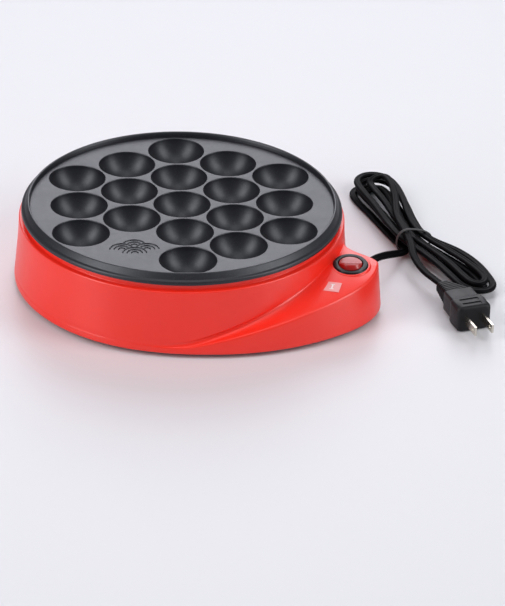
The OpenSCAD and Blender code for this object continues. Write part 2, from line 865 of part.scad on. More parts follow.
module plug_relief() {
    front = -plug_size[1] - neck[1];
    color([0.07, 0.07, 0.08])
        at_plug()
            difference() {
                translate([front, 0, 0])
                    rotate([0, 0, ribbed_turn]) {
                        box_between(-ribbed_l, 4, 8.4, 6.4);
                        for (i = [0:relief_ribs - 1])
                            box_between(-3.6 - i * 4, -1.2 - i * 4, 18 - i * 1.8, 13 - i);
                    }
                box_between(front, front + 8, 30, 30);
            }
}

module plug_blades() {
    color([0.8, 0.78, 0.72])
        at_plug()
            for (y = [-blade_pitch / 2, blade_pitch / 2])
                difference() {
                    translate([-8, y - 0.75, -3.15])
                        cube([25.5, 1.5, 6.3]);
                    translate([14, y - 5, 0])
                        rotate([-90, 0, 0])
                            cylinder(r = 1.5, h = 10);
                }
}

tail_start = hank_path[len(hank_path) - 1];
hank_last = unit(tail_start - hank_path[len(hank_path) - 2]);
tail_route = [tail_start, tail_start + lead_w * hank_last, hank_point(28, -12.4, 11.6),
    hank_point(41, -14.6, 10.5), hank_point(54, -14.8, 9.8), relief_back - lead_w * relief_dir,
    relief_back];
tail_path = smooth(tail_route, 3);
echo(lead_length = length_of(lead_path), hank_length = length_of(hank_path),
    tail_length = length_of(tail_path));

module cord_tail() {
    color([0.07, 0.07, 0.08])
        tube(tail_path, flat_section(lead_w, lead_t, 8));
}

seat() casing();
seat() bottom_cover();
seat() ring_of([feet[0]], foot_r + 14) foot();  // foot_front_right
seat() ring_of([feet[1]], foot_r) foot();  // foot_back_right
seat() ring_of([feet[2]], foot_r) foot();  // foot_back_left
seat() ring_of([feet[3]], foot_r) foot();  // foot_front_left
seat() cover_screws();
seat() reflector();
seat() reflector_screws();
seat() heating_element();
seat() element_clips();
seat() element_bushings();
seat() element_tabs();
seat() thermostat();
seat() thermal_fuse();
seat() live_wire();
seat() neutral_wire();
seat() switched_wire();
seat() heater_wires();
seat() cooking_plate();
seat() switch_housing();
seat() rocker();
seat() rocker_pin();
seat() switch_tabs();
seat() switch_lamp();
seat() position_label();
seat() cord_relief();
seat() cord_inner();
seat() cord_clamp();
seat() clamp_screws();
seat() cord_lead();
seat() cord_hank();
seat() cord_tie();
seat() cord_tail();
seat() plug_relief();
seat() plug_body();
seat() plug_blades();
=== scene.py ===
"""Dresses the electric takoyaki maker: casing, cup plate, switch, heating parts, lead and plug.

Everything is in metres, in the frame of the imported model. Sizes that the model's source gives in
millimetres keep their numbers here and go through mm().
"""

import logging
import math
from dataclasses import dataclass, field
from enum import Enum
from typing import Any, Callable, Iterable, Sequence

import bmesh
import bpy
from mathutils import Matrix, Vector


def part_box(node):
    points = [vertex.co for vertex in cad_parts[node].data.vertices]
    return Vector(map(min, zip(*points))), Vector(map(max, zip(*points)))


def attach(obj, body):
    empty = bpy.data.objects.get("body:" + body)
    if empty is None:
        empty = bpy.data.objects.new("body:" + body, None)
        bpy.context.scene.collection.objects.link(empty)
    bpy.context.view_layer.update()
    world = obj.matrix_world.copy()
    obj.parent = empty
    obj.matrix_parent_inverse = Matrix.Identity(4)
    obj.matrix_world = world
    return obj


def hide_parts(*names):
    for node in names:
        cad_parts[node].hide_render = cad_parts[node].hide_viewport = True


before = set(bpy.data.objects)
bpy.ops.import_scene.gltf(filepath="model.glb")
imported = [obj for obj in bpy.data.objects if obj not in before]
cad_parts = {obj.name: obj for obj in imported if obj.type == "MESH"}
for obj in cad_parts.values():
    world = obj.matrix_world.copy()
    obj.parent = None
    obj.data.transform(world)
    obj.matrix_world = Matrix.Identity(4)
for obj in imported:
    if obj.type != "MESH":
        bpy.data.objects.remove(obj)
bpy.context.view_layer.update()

log = logging.getLogger("takoyaki_maker")

Point = tuple[float, float]
Triple = tuple[float, float, float]
Colour = Triple
Plan = Callable[["NodeBoard", "Wire"], "Wire"]
Piece = bpy.types.Object
Work = bmesh.types.BMesh

Z_AXIS = Vector((0.0, 0.0, 1.0))

# Where the lead leaves the pod and where the plug lies, in millimetres about the plate's axis, and
# which way they point, in degrees.
EXIT_AT: Triple = (123.2, -36.6, 17.0)
EXIT_HEADING = 66.0
PLUG_AT: Triple = (201.1, -84.9, 9.7)
PLUG_HEADING = -73.6
PLUG_LENGTH = 32.0
SLEEVE_TURN = 9.0

# The bosses and screws round the underside, in degrees and millimetres.
BOSS_ANGLES = (20, 80, 140, 200, 250, -72)
BOSS_RING = 110.5


def mm(length: float) -> float:
    """Millimetres as metres."""
    return length / 1000.0


def srgb(red: int, green: int, blue: int) -> Colour:
    """A display colour of 0 to 255 as the linear colour that a shader takes."""

    def linear(value: int) -> float:
        """One channel as a linear share."""
        share = value / 255.0
        return share / 12.92 if share <= 0.04045 else ((share + 0.055) / 1.055) ** 2.4

    return linear(red), linear(green), linear(blue)


def clamp01(value: float) -> float:
    """The value, held between 0 and 1."""
    return min(1.0, max(0.0, value))


def sine(angle: float) -> float:
    """The sine of an angle in degrees."""
    return math.sin(math.radians(angle))


def cosine(angle: float) -> float:
    """The cosine of an angle in degrees."""
    return math.cos(math.radians(angle))


def turned(angle: float, axis: str) -> Matrix:
    """A turn by an angle in degrees about an axis."""
    return Matrix.Rotation(math.radians(angle), 4, axis)


def towards(angle: float) -> Vector:
    """The level direction at an angle in degrees from the x axis."""
    return Vector((cosine(angle), sine(angle), 0.0))


def axes(across: Vector, up: Vector, ahead: Vector, place: Vector) -> Matrix:
    """The matrix of a frame with these axes at a place."""
    rows = [(across[i], up[i], ahead[i], place[i]) for i in range(3)]
    return Matrix([*rows, (0.0, 0.0, 0.0, 1.0)])


# ---- node trees ----


@dataclass(frozen=True)
class Wire:
    """An output socket of a node tree, with arithmetic that adds Math nodes."""

    tree: "NodeBoard"
    socket: bpy.types.NodeSocket

    def _math(self, operation: str, first: Any, second: Any) -> "Wire":
        """A Math node on two values."""
        return self.tree.node("ShaderNodeMath", {0: first, 1: second}, operation=operation)

    def __add__(self, other: Any) -> "Wire":
        """Sum."""
        return self._math("ADD", self, other)

    __radd__ = __add__

    def __sub__(self, other: Any) -> "Wire":
        """Difference."""
        return self._math("SUBTRACT", self, other)

    def __rsub__(self, other: Any) -> "Wire":
        """Difference, from a number."""
        return self._math("SUBTRACT", other, self)

    def __mul__(self, other: Any) -> "Wire":
        """Product."""
        return self._math("MULTIPLY", self, other)

    __rmul__ = __mul__

    def above(self, edge: float) -> "Wire":
        """1 where the value is above an edge, and 0 elsewhere."""
        return self._math("GREATER_THAN", self, edge)

    def output(self, name: str) -> "Wire":
        """Another output of the same node."""
        return Wire(self.tree, self.socket.node.outputs[name])


class NodeBoard:
    """A node tree and the one method that adds nodes to it."""

    def __init__(self, tree: bpy.types.NodeTree) -> None:
        """Empties the tree.

        Args:
            tree: the shader or geometry tree to fill.
        """
        self.tree = tree
        tree.nodes.clear()

    def node(self, kind: str, inputs: dict[int | str, Any] | None = None, **settings: Any) -> Wire:
        """Adds a node.

        Args:
            kind: the node's type name.
            inputs: values, wires or lists of wires, by socket name or index.
            settings: properties that are set before the sockets.

        Returns:
            The node's first output in use, or a wire on its first input where it has no output.
        """
        made = self.tree.nodes.new(kind)
        for name, value in settings.items():
            setattr(made, name, value)
        for name, value in (inputs or {}).items():
            wires = value if isinstance(value, list) else [value] if isinstance(value, Wire) else []
            for wire in wires:
                self.tree.links.new(wire.socket, made.inputs[name])
            if not wires:
                made.inputs[name].default_value = value
        outputs = [socket for socket in made.outputs if socket.enabled]
        return Wire(self, (outputs or list(made.inputs))[0])

    def object_place(self) -> Wire:
        """The place on the object, in metres."""
        return self.node("ShaderNodeTexCoord").output("Object")

    def noise(self, scale: float, detail: float = 3.0, place: Wire | None = None) -> Wire:
        """Noise between about 0 and 1.

        Args:
            scale: how many blotches there are in a metre.
            detail: how many finer layers there are.
            place: where it is read, or None for the place on the object.

        Returns:
            The noise value.
        """
        inputs = {"Vector": place or self.object_place(), "Scale": scale, "Detail": detail, "Roughness": 0.55}
        return self.node("ShaderNodeTexNoise", inputs, noise_dimensions="3D")

    def blend(self, share: Wire, first: Wire | Colour, second: Colour) -> Wire:
        """Mixes two colours: the share says how much of the second one shows."""
        start = first if isinstance(first, Wire) else (*first, 1.0)
        inputs = {0: share, 6: start, 7: (*second, 1.0)}
        return self.node("ShaderNodeMix", inputs, data_type="RGBA", clamp_factor=True)


# ---- finishes ----


@dataclass(frozen=True)
class Finish:
    """A plain surface: a colour with soft mottling, uneven gloss and a fine grain."""

    name: str
    colour: Colour
    roughness: float = 0.4
    metallic: float = 0.0
    mottle: float = 0.06
    mottle_scale: float = 60.0
    gloss_spread: float = 0.08
    grain_scale: float = 2200.0
    grain_depth: float = 0.00001
    specular: float = 0.5
    coat: float = 0.0
    coat_roughness: float = 0.1
    sheen: Colour = (1.0, 1.0, 1.0)
    edge_radius: float = 0.0

    def base_colour(self, board: NodeBoard) -> Wire:
        """The colour, a little darker in soft blotches."""
        dark = tuple(c * (1.0 - self.mottle) for c in self.colour)
        light = tuple(min(1.0, c * (1.0 + self.mottle)) for c in self.colour)
        return board.blend(board.noise(self.mottle_scale), dark, light)

    def gloss(self, board: NodeBoard) -> Wire:
        """The roughness, which handling leaves uneven."""
        patches = board.noise(self.mottle_scale * 2.3, 4.0) - 0.5
        return patches * self.gloss_spread * 2.0 + self.roughness

    def height(self, board: NodeBoard) -> Wire:
        """The grain's height, from 0 to 1."""
        return board.noise(self.grain_scale, 2.0)

    def extra(self) -> dict[str, Any]:
        """Sockets of the surface shader that this finish sets besides the usual ones."""
        return {}

    def material(self) -> bpy.types.Material:
        """Builds the material once and gives it back after that."""
        if self.name in bpy.data.materials:
            return bpy.data.materials[self.name]
        made = bpy.data.materials.new(self.name)
        made.use_nodes = True
        board = NodeBoard(made.node_tree)
        relief = {"Height": self.height(board), "Distance": self.grain_depth, "Strength": 1.0}
        if self.edge_radius:
            relief["Normal"] = board.node("ShaderNodeBevel", {"Radius": self.edge_radius}, samples=8)
        sockets = {
            "Base Color": self.base_colour(board),
            "Roughness": self.gloss(board),
            "Metallic": self.metallic,
            "Specular IOR Level": self.specular,
            "Specular Tint": (*self.sheen, 1.0),
            "Coat Weight": self.coat,
            "Coat Roughness": self.coat_roughness,
            "Normal": board.node("ShaderNodeBump", relief),
            **self.extra(),
        }
        surface = board.node("ShaderNodeBsdfPrincipled", sockets)
        board.node("ShaderNodeOutputMaterial", {"Surface": surface})
        made.diffuse_color = (*self.colour, 1.0)
        return made


@dataclass(frozen=True)
class CoatedCasting(Finish):
    """A cast plate with a dark release coating: fine sprayed texture with pale flecks."""

    fleck_scale: float = 1500.0
    fleck_colour: Colour = srgb(70, 70, 78)

    def base_colour(self, board: NodeBoard) -> Wire:
        """The coating's colour with scattered pale flecks."""
        flecks = (board.noise(self.fleck_scale, 1.0) - 0.66).above(0.0)
        return board.blend(flecks * 0.35, super().base_colour(board), self.fleck_colour)

    def height(self, board: NodeBoard) -> Wire:
        """A sprayed skin over the casting's slow waves."""
        return board.noise(self.grain_scale, 3.0) * 0.6 + board.noise(self.grain_scale / 6.0, 2.0) * 0.4


@dataclass(frozen=True)
class RolledSteel(Finish):
    """Sheet or turned metal with rolling marks along one direction."""

    mark_stretch: Triple = (1.0, 12.0, 12.0)

    def height(self, board: NodeBoard) -> Wire:
        """Fine streaks."""
        sides = {0: board.object_place(), 1: self.mark_stretch}
        stretched = board.node("ShaderNodeVectorMath", sides, operation="MULTIPLY")
        return board.noise(self.grain_scale / 6.0, 3.0, stretched)


@dataclass(frozen=True)
class HeatedSheath(Finish):
    """The element's sheath, straw and blue where it has been hot."""

    hot_colour: Colour = srgb(96, 70, 58)
    cool_colour: Colour = srgb(66, 72, 92)

    def base_colour(self, board: NodeBoard) -> Wire:
        """Grey metal with temper colours in slow patches."""
        warm = board.blend(board.noise(35.0), super().base_colour(board), self.hot_colour)
        return board.blend(board.noise(21.0) * 0.5, warm, self.cool_colour)


@dataclass(frozen=True)
class ClearRocker(Finish):
    """Tinted clear plastic over a lamp."""

    clearness: float = 0.35

    def extra(self) -> dict[str, Any]:
        """Some light passes through."""
        return {"Transmission Weight": self.clearness}


@dataclass(frozen=True)
class Lit(Finish):
    """A lamp that glows faintly."""

    glow: float = 0.6

    def extra(self) -> dict[str, Any]:
        """The lamp's own light."""
        return {"Emission Color": (*self.colour, 1.0), "Emission Strength": self.glow}


class Finishes(Enum):
    """Every finish on the object."""

    CASING = Finish(
        "casing_red_plastic",
        srgb(248, 43, 26),
        0.32,
        mottle=0.03,
        mottle_scale=40.0,
        gloss_spread=0.05,
        grain_scale=2600.0,
        grain_depth=0.000004,
        specular=0.6,
        coat=0.1,
        coat_roughness=0.25,
        edge_radius=mm(0.7),
    )
    COVER = Finish("cover_black_plastic", srgb(40, 40, 44), 0.55, grain_depth=0.00003)
    FOOT = Finish("foot_grey_rubber", srgb(34, 34, 36), 0.8, grain_depth=0.00004, grain_scale=1400.0)
    SCREW = RolledSteel("screw_zinc", srgb(190, 190, 196), 0.3, 1.0)
    PAN = RolledSteel("pan_aluminised_steel", srgb(196, 199, 204), 0.32, 1.0, grain_depth=0.00001)
    SHEATH = HeatedSheath("element_sheath", srgb(92, 90, 92), 0.42, 0.9)
    CERAMIC = Finish("white_ceramic", srgb(236, 232, 220), 0.5, grain_depth=0.00002)
    BRASS = RolledSteel("tab_brass", srgb(206, 178, 108), 0.3, 1.0)
    THERMOSTAT = Finish("thermostat_black", srgb(44, 44, 48), 0.5)
    WIRE_BLACK = Finish("wire_black", srgb(30, 30, 33), 0.45)
    WIRE_WHITE = Finish("wire_white", srgb(226, 226, 222), 0.45)
    WIRE_RED = Finish("wire_red", srgb(168, 30, 26), 0.45)
    PLATE = CoatedCasting(
        "plate_release_coating",
        srgb(17, 17, 23),
        0.42,
        mottle=0.08,
        mottle_scale=90.0,
        gloss_spread=0.05,
        grain_scale=2400.0,
        grain_depth=0.00003,
        specular=0.72,
        sheen=(0.9, 0.93, 1.0),
    )
    SWITCH = Finish("switch_black_plastic", srgb(21, 22, 26), 0.3, grain_depth=0.000008, specular=0.25)
    ROCKER = ClearRocker("rocker_clear_red", srgb(206, 26, 24), 0.3, coat=0.25, gloss_spread=0.03)
    LAMP = Lit("neon_lamp", srgb(255, 120, 60), 0.3)
    LABEL = Finish("label_film", srgb(220, 62, 60), 0.42, gloss_spread=0.04, specular=0.35)
    LABEL_PRINT = Finish("label_print_white", srgb(252, 240, 240), 0.5)
    CORD = Finish(
        "lead_black_vinyl",
        srgb(10, 10, 13),
        0.46,
        mottle=0.1,
        mottle_scale=120.0,
        grain_scale=900.0,
        grain_depth=0.00003,
        specular=0.05,
    )
    TIE = Finish("tie_black", srgb(14, 14, 16), 0.5, specular=0.15)
    PLUG = Finish(
        "plug_black_vinyl",
        srgb(19, 19, 23),
        0.46,
        mottle_scale=90.0,
        grain_scale=1500.0,
        grain_depth=0.00004,
        specular=0.28,
    )
    BLADE = RolledSteel("blade_nickel", srgb(214, 208, 196), 0.24, 1.0)

    @property
    def material(self) -> bpy.types.Material:
        """The finish as a material."""
        return self.value.material()


# ---- meshes ----


def new_object(name: str, mesh: bpy.types.Mesh) -> Piece:
    """Links a new object with that mesh to the scene."""
    made = bpy.data.objects.new(name, mesh)
    bpy.context.scene.collection.objects.link(made)
    return made


def shade(piece: Piece, sharp_angle: float = 35.0) -> None:
    """Smooth shading that breaks at edges sharper than an angle.

    Args:
        piece: the object to shade.
        sharp_angle: the least angle of a sharp edge, in degrees.
    """
    piece.data.shade_smooth()
    piece.data.set_sharp_from_angle(angle=math.radians(sharp_angle))


def dress(piece: Piece, finish: Finishes, slot: str, *nodes: str, body: str = "base") -> Piece:
    """Gives a finished piece its material and its body, and hides the nodes it stands for.

    Args:
        piece: a mesh object in place.
        finish: its finish.
        slot: the record's material slot; not used.
        nodes: the nodes that it replaces.
        body: the moving body that it rides on.

    Returns:
        The piece.
    """
    piece.data.materials.clear()
    piece.data.materials.append(finish.material)
    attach(piece, body)
    if nodes:
        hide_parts(*nodes)
    log.info("%s: %d faces on %s", piece.name, len(piece.data.polygons), body)
    return piece


def finished(name: str, work: Work, sharp_angle: float = 35.0) -> Piece:
    """Turns a work mesh into a shaded object and frees it.

    Args:
        name: the new object's name.
        work: the mesh in work.
        sharp_angle: the least angle of a sharp edge, in degrees.

    Returns:
        The new object.
    """
    mesh = bpy.data.meshes.new(name)
    work.to_mesh(mesh)
    work.free()
    made = new_object(name, mesh)
    shade(made, sharp_angle)
    return made


def evaluated_mesh(piece: Piece) -> bpy.types.Mesh:
    """The mesh that an object's modifiers make."""
    return bpy.data.meshes.new_from_object(piece.evaluated_get(bpy.context.evaluated_depsgraph_get()))


def bake(piece: Piece, sharp_angle: float = 35.0) -> None:
    """Keeps the mesh that the modifiers make, without them, and shades it."""
    mesh = evaluated_mesh(piece)
    piece.modifiers.clear()
    piece.data = mesh
    shade(piece, sharp_angle)


def carve(piece: Piece, tool: Piece) -> None:
    """Cuts one object out of another and removes the tool.

    Args:
        piece: what is cut.
        tool: what is cut away.
    """
    modifier = piece.modifiers.new("carve", "BOOLEAN")
    modifier.operation = "DIFFERENCE"
    modifier.solver = "EXACT"
    modifier.use_self = True
    modifier.object = tool
    bake(piece)
    bpy.data.objects.remove(tool)


def add_block(work: Work, size: Triple, at: Triple) -> None:
    """Adds a box of a size about a point, both in millimetres."""
    corners = bmesh.ops.create_cube(work, size=1.0)["verts"]
    bmesh.ops.scale(work, verts=corners, vec=[mm(c) for c in size])
    bmesh.ops.translate(work, verts=corners, vec=[mm(c) for c in at])


def add_cylinder(work: Work, place: Matrix, radius: float, low: float, high: float) -> None:
    """Adds a closed cylinder between two heights of a frame, in millimetres."""
    middle = Matrix.Translation((0.0, 0.0, mm((low + high) / 2.0)))
    size = {"radius1": mm(radius), "radius2": mm(radius), "depth": mm(high - low)}
    bmesh.ops.create_cone(work, cap_ends=True, segments=72, matrix=place @ middle, **size)


def skin(
    work: Work,
    rings: Sequence[Sequence[bmesh.types.BMVert]],
    looped: bool = False,
    open_side: bool = False,
) -> None:
    """Joins rings of corners with faces that look outwards.

    Args:
        work: the mesh that holds the corners.
        rings: the rings, all of one count.
        looped: whether the last ring joins the first; if not, both ends are closed.
        open_side: whether each ring is open between its last corner and its first.
    """
    count = len(rings[0])
    faces = []
    for first, second in zip(rings, [*rings[1:], rings[0]] if looped else rings[1:]):
        for i in range(count - 1 if open_side else count):
            j = (i + 1) % count
            faces.append(work.faces.new((first[i], first[j], second[j], second[i])))
    if not looped:
        faces.append(work.faces.new(list(reversed(rings[0]))))
        faces.append(work.faces.new(rings[-1]))
    bmesh.ops.recalc_face_normals(work, faces=faces)


def grow(
    name: str, source: bpy.types.Mesh, settings: dict[str, tuple[str, Any]], plan: Plan
) -> Piece:
    """Makes an object with Geometry Nodes and keeps only its mesh.

    Args:
        name: the new object's name.
        source: the mesh that goes into the nodes.
        settings: the group's named inputs, each with its socket type and value.
        plan: adds the nodes and gives back the wire with the finished geometry.

    Returns:
        The new object.
    """
    tree = bpy.data.node_groups.new(name + "_nodes", "GeometryNodeTree")
    tree.interface.new_socket("Geometry", in_out="INPUT", socket_type="NodeSocketGeometry")
    named = {
        label: tree.interface.new_socket(label, in_out="INPUT", socket_type=kind).identifier
        for label, (kind, _) in settings.items()
    }
    tree.interface.new_socket("Geometry", in_out="OUTPUT", socket_type="NodeSocketGeometry")
    board = NodeBoard(tree)
    inputs = board.node("NodeGroupInput")
    board.node("NodeGroupOutput", {"Geometry": plan(board, inputs)})
    seed = new_object(name + "_source", source)
    modifier = seed.modifiers.new("grow", "NODES")
    modifier.node_group = tree
    for label, (_, value) in settings.items():
        modifier[named[label]] = value
    mesh = evaluated_mesh(seed)
    bpy.data.objects.remove(seed)
    made = new_object(name, mesh)
    made.data.name = name
    return made


def rounded_copy(name: str, node: str, radius: float, steps: int = 2) -> Piece:
    """A copy of a node's mesh with its doubles merged and its edges rounded.

    Args:
        name: the new piece's name.
        node: the node that is copied.
        radius: how far the rounding reaches from an edge, in millimetres, or 0 for plain edges.
        steps: faces across the rounding.

    Returns:
        The new object, at the origin.
    """
    work = bmesh.new()
    work.from_mesh(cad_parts[node].data)
    bmesh.ops.remove_doubles(work, verts=work.verts, dist=mm(0.002))
    if radius:
        flat_angle, edge_angle = math.radians(0.4), math.radians(32.0)
        bmesh.ops.dissolve_limit(work, angle_limit=flat_angle, verts=work.verts, edges=work.edges)
        paired = [edge for edge in work.edges if len(edge.link_faces) == 2]
        sharp = [edge for edge in paired if edge.calc_face_angle(0.0) > edge_angle]
        reach = {"offset": mm(radius), "offset_type": "OFFSET", "clamp_overlap": True}
        form = {"segments": steps, "profile": 0.5, "miter_outer": "ARC"}
        bmesh.ops.bevel(work, geom=sharp, affect="EDGES", **reach, **form)
    return finished(name, work)


def revolve(name: str, profile: Sequence[Point], steps: int, closed: bool = False) -> bpy.types.Mesh:
    """Turns a profile round the z axis.

    Args:
        name: the mesh's name.
        profile: points of radius and height, in millimetres; a point on the axis becomes a pole.
        steps: faces round the axis.
        closed: whether the last point joins the first.

    Returns:
        The mesh, its faces outwards where the profile runs down the outside.
    """
    work = bmesh.new()
    rings = []
    for radius, height in profile:
        r, z = mm(radius) if radius > 0.001 else 0.0, mm(height)
        turns = [2.0 * math.pi * i / steps for i in range(steps if r else 1)]
        rings.append([work.verts.new((r * math.cos(t), r * math.sin(t), z)) for t in turns])
    pairs = list(zip(rings, rings[1:])) + ([(rings[-1], rings[0])] if closed else [])
    for upper, lower in pairs:
        for i in range(steps):
            j = (i + 1) % steps
            m, n = len(upper), len(lower)
            corners = dict.fromkeys((upper[i % m], lower[i % n], lower[j % n], upper[j % m]))
            if len(corners) > 2:
                work.faces.new(list(corners))
    mesh = bpy.data.meshes.new(name)
    work.to_mesh(mesh)
    work.free()
    return mesh


def arc(centre: Point, radius: float, start: float, end: float, steps: int) -> list[Point]:
    """Points along an arc, from one angle in degrees to another."""
    angles = [start + (end - start) * i / steps for i in range(steps + 1)]
    return [(centre[0] + radius * cosine(a), centre[1] + radius * sine(a)) for a in angles]


def slope(before: Vector, here: Vector, after: Vector) -> Vector:
    """A line's direction at a point, nearer to that of the shorter stretch beside it."""
    first, second = here - before, after - here
    a, b = max(first.length, 1e-9), max(second.length, 1e-9)
    return (first / a * b + second / b * a) / (a + b)


def smooth_line(points: Sequence[Vector], steps: int) -> list[Vector]:
    """A smooth line through points that doesn't swing wide where they come closer together.

    Args:
        points: the points that it passes.
        steps: how many stretches lie between two of them.

    Returns:
        The finer points.
    """
    last = len(points) - 1
    slopes = [slope(points[i - 1], points[i], points[i + 1]) for i in range(1, last)]
    slopes = [(points[1] - points[0]).normalized(), *slopes, (points[last] - points[last - 1]).normalized()]
    line = []
    for i in range(last):
        start, end = points[i], points[i + 1]
        reach = (end - start).length
        for k in range(steps):
            t = k / steps
            line.append(
                (1.0 + 2.0 * t) * (1.0 - t) ** 2 * start
                + t * (1.0 - t) ** 2 * reach * slopes[i]
                + t * t * (3.0 - 2.0 * t) * end
                + t * t * (t - 1.0) * reach * slopes[i + 1]
            )
    return line + [points[last]]


def sweep(
    name: str, path: Sequence[Vector], section: Sequence[Point], roll: Callable[[int], float]
) -> Piece:
    """A closed tube of a flat or round section along a path.

    Args:
        name: the new piece's name.
        path: ring centres.
        section: points across and up, in metres.
        roll: for a ring's number, how far its right side is turned down from level.

    Returns:
        The new object.
    """
    work = bmesh.new()
    rings = []
    for i, centre in enumerate(path):
        ahead = (path[min(i + 1, len(path) - 1)] - path[max(i - 1, 0)]).normalized()
        level = ahead.cross(Z_AXIS).normalized()
        side = Matrix.Rotation(roll(i), 3, ahead) @ level
        up = side.cross(ahead)
        rings.append([work.verts.new(centre + side * x + up * y) for x, y in section])
    skin(work, rings)
    return finished(name, work, 60.0)


# ---- the studio ----


@dataclass(frozen=True)
class Softbox:
    """A rectangular area lamp that looks at the object: its width and height, and its power."""

    name: str
    place: Vector
    size: Point
    power: float
    colour: Colour = (1.0, 1.0, 1.0)


@dataclass
class Studio:
    """The camera, the lamps, the world and the pale floor."""

    eye: Vector = field(default_factory=lambda: Vector((-0.17465, -2.81922, 1.5207)))
    ahead: Vector = field(default_factory=lambda: Vector((0.0672, 0.87532, -0.47885)))
    up: Vector = field(default_factory=lambda: Vector((0.01124, 0.47924, 0.87761)))
    focal_px: float = 4497.9
    image_height: float = 606.0
    sensor: float = 36.0
    floor_colour: Colour = srgb(221, 221, 226)
    floor_half: float = 6.0
    fill: float = 0.2
    fill_colour: Colour = (0.96, 0.97, 1.0)
    target: Vector = field(default_factory=lambda: Vector((0.0, 0.0, 0.03)))
    boxes: Sequence[Softbox] = (
        Softbox("back_box", Vector((0.1, 1.6, 1.05)), (1.3, 1.3), 16.5, (0.95, 0.94, 1.0)),
        Softbox("top_box", Vector((0.0, -0.2, 2.2)), (1.2, 1.2), 7.0),
        Softbox("left_box", Vector((-1.85, -0.85, 1.15)), (0.9, 2.3), 35.0),
        Softbox("right_box", Vector((1.85, -0.75, 1.15)), (0.9, 2.3), 30.0),
    )

    def build(self) -> None:
        """Makes everything round the object."""
        self._camera()
        self._world()
        self._floor()
        for box in self.boxes:
            self._lamp(box)

    def _camera(self) -> None:
        """A long lens at the photograph's place."""
        data = bpy.data.cameras.new("camera")
        data.sensor_width = self.sensor
        data.lens = self.focal_px * self.sensor / self.image_height
        data.clip_end = 50.0
        camera = bpy.data.objects.new("camera", data)
        right = self.ahead.cross(self.up).normalized()
        up = right.cross(self.ahead).normalized()
        camera.matrix_world = axes(right, up, -self.ahead.normalized(), self.eye)
        bpy.context.scene.collection.objects.link(camera)
        bpy.context.scene.camera = camera

    def _world(self) -> None:
        """A weak even light from all round."""
        world = bpy.data.worlds.new("world")
        bpy.context.scene.world = world
        world.use_nodes = True
        board = NodeBoard(world.node_tree)
        sockets = {"Color": (*self.fill_colour, 1.0), "Strength": self.fill}
        board.node("ShaderNodeOutputWorld", {"Surface": board.node("ShaderNodeBackground", sockets)})

    def _floor(self) -> None:
        """A wide pale sheet with a faint gloss."""
        mesh = bpy.data.meshes.new("floor")
        half = self.floor_half
        corners = [(-half, -half, 0.0), (half, -half, 0.0), (half, half, 0.0), (-half, half, 0.0)]
        mesh.from_pydata(corners, [], [(0, 1, 2, 3)])
        sheet = new_object("floor", mesh)
        finish = Finish("floor_sheet", self.floor_colour, 0.38, mottle=0.0, gloss_spread=0.0, specular=0.35)
        mesh.materials.append(finish.material())

    def _lamp(self, box: Softbox) -> None:
        """Adds one softbox that faces the object."""
        data = bpy.data.lights.new(box.name, "AREA")
        data.shape = "RECTANGLE"
        data.size, data.size_y = box.size
        data.energy = box.power
        data.color = box.colour
        lamp = bpy.data.objects.new(box.name, data)
        lamp.location = box.place
        lamp.rotation_mode = "QUATERNION"
        lamp.rotation_quaternion = (self.target - box.place).to_track_quat("-Z", "Y")
        bpy.context.scene.collection.objects.link(lamp)


# ---- the mains lead ----


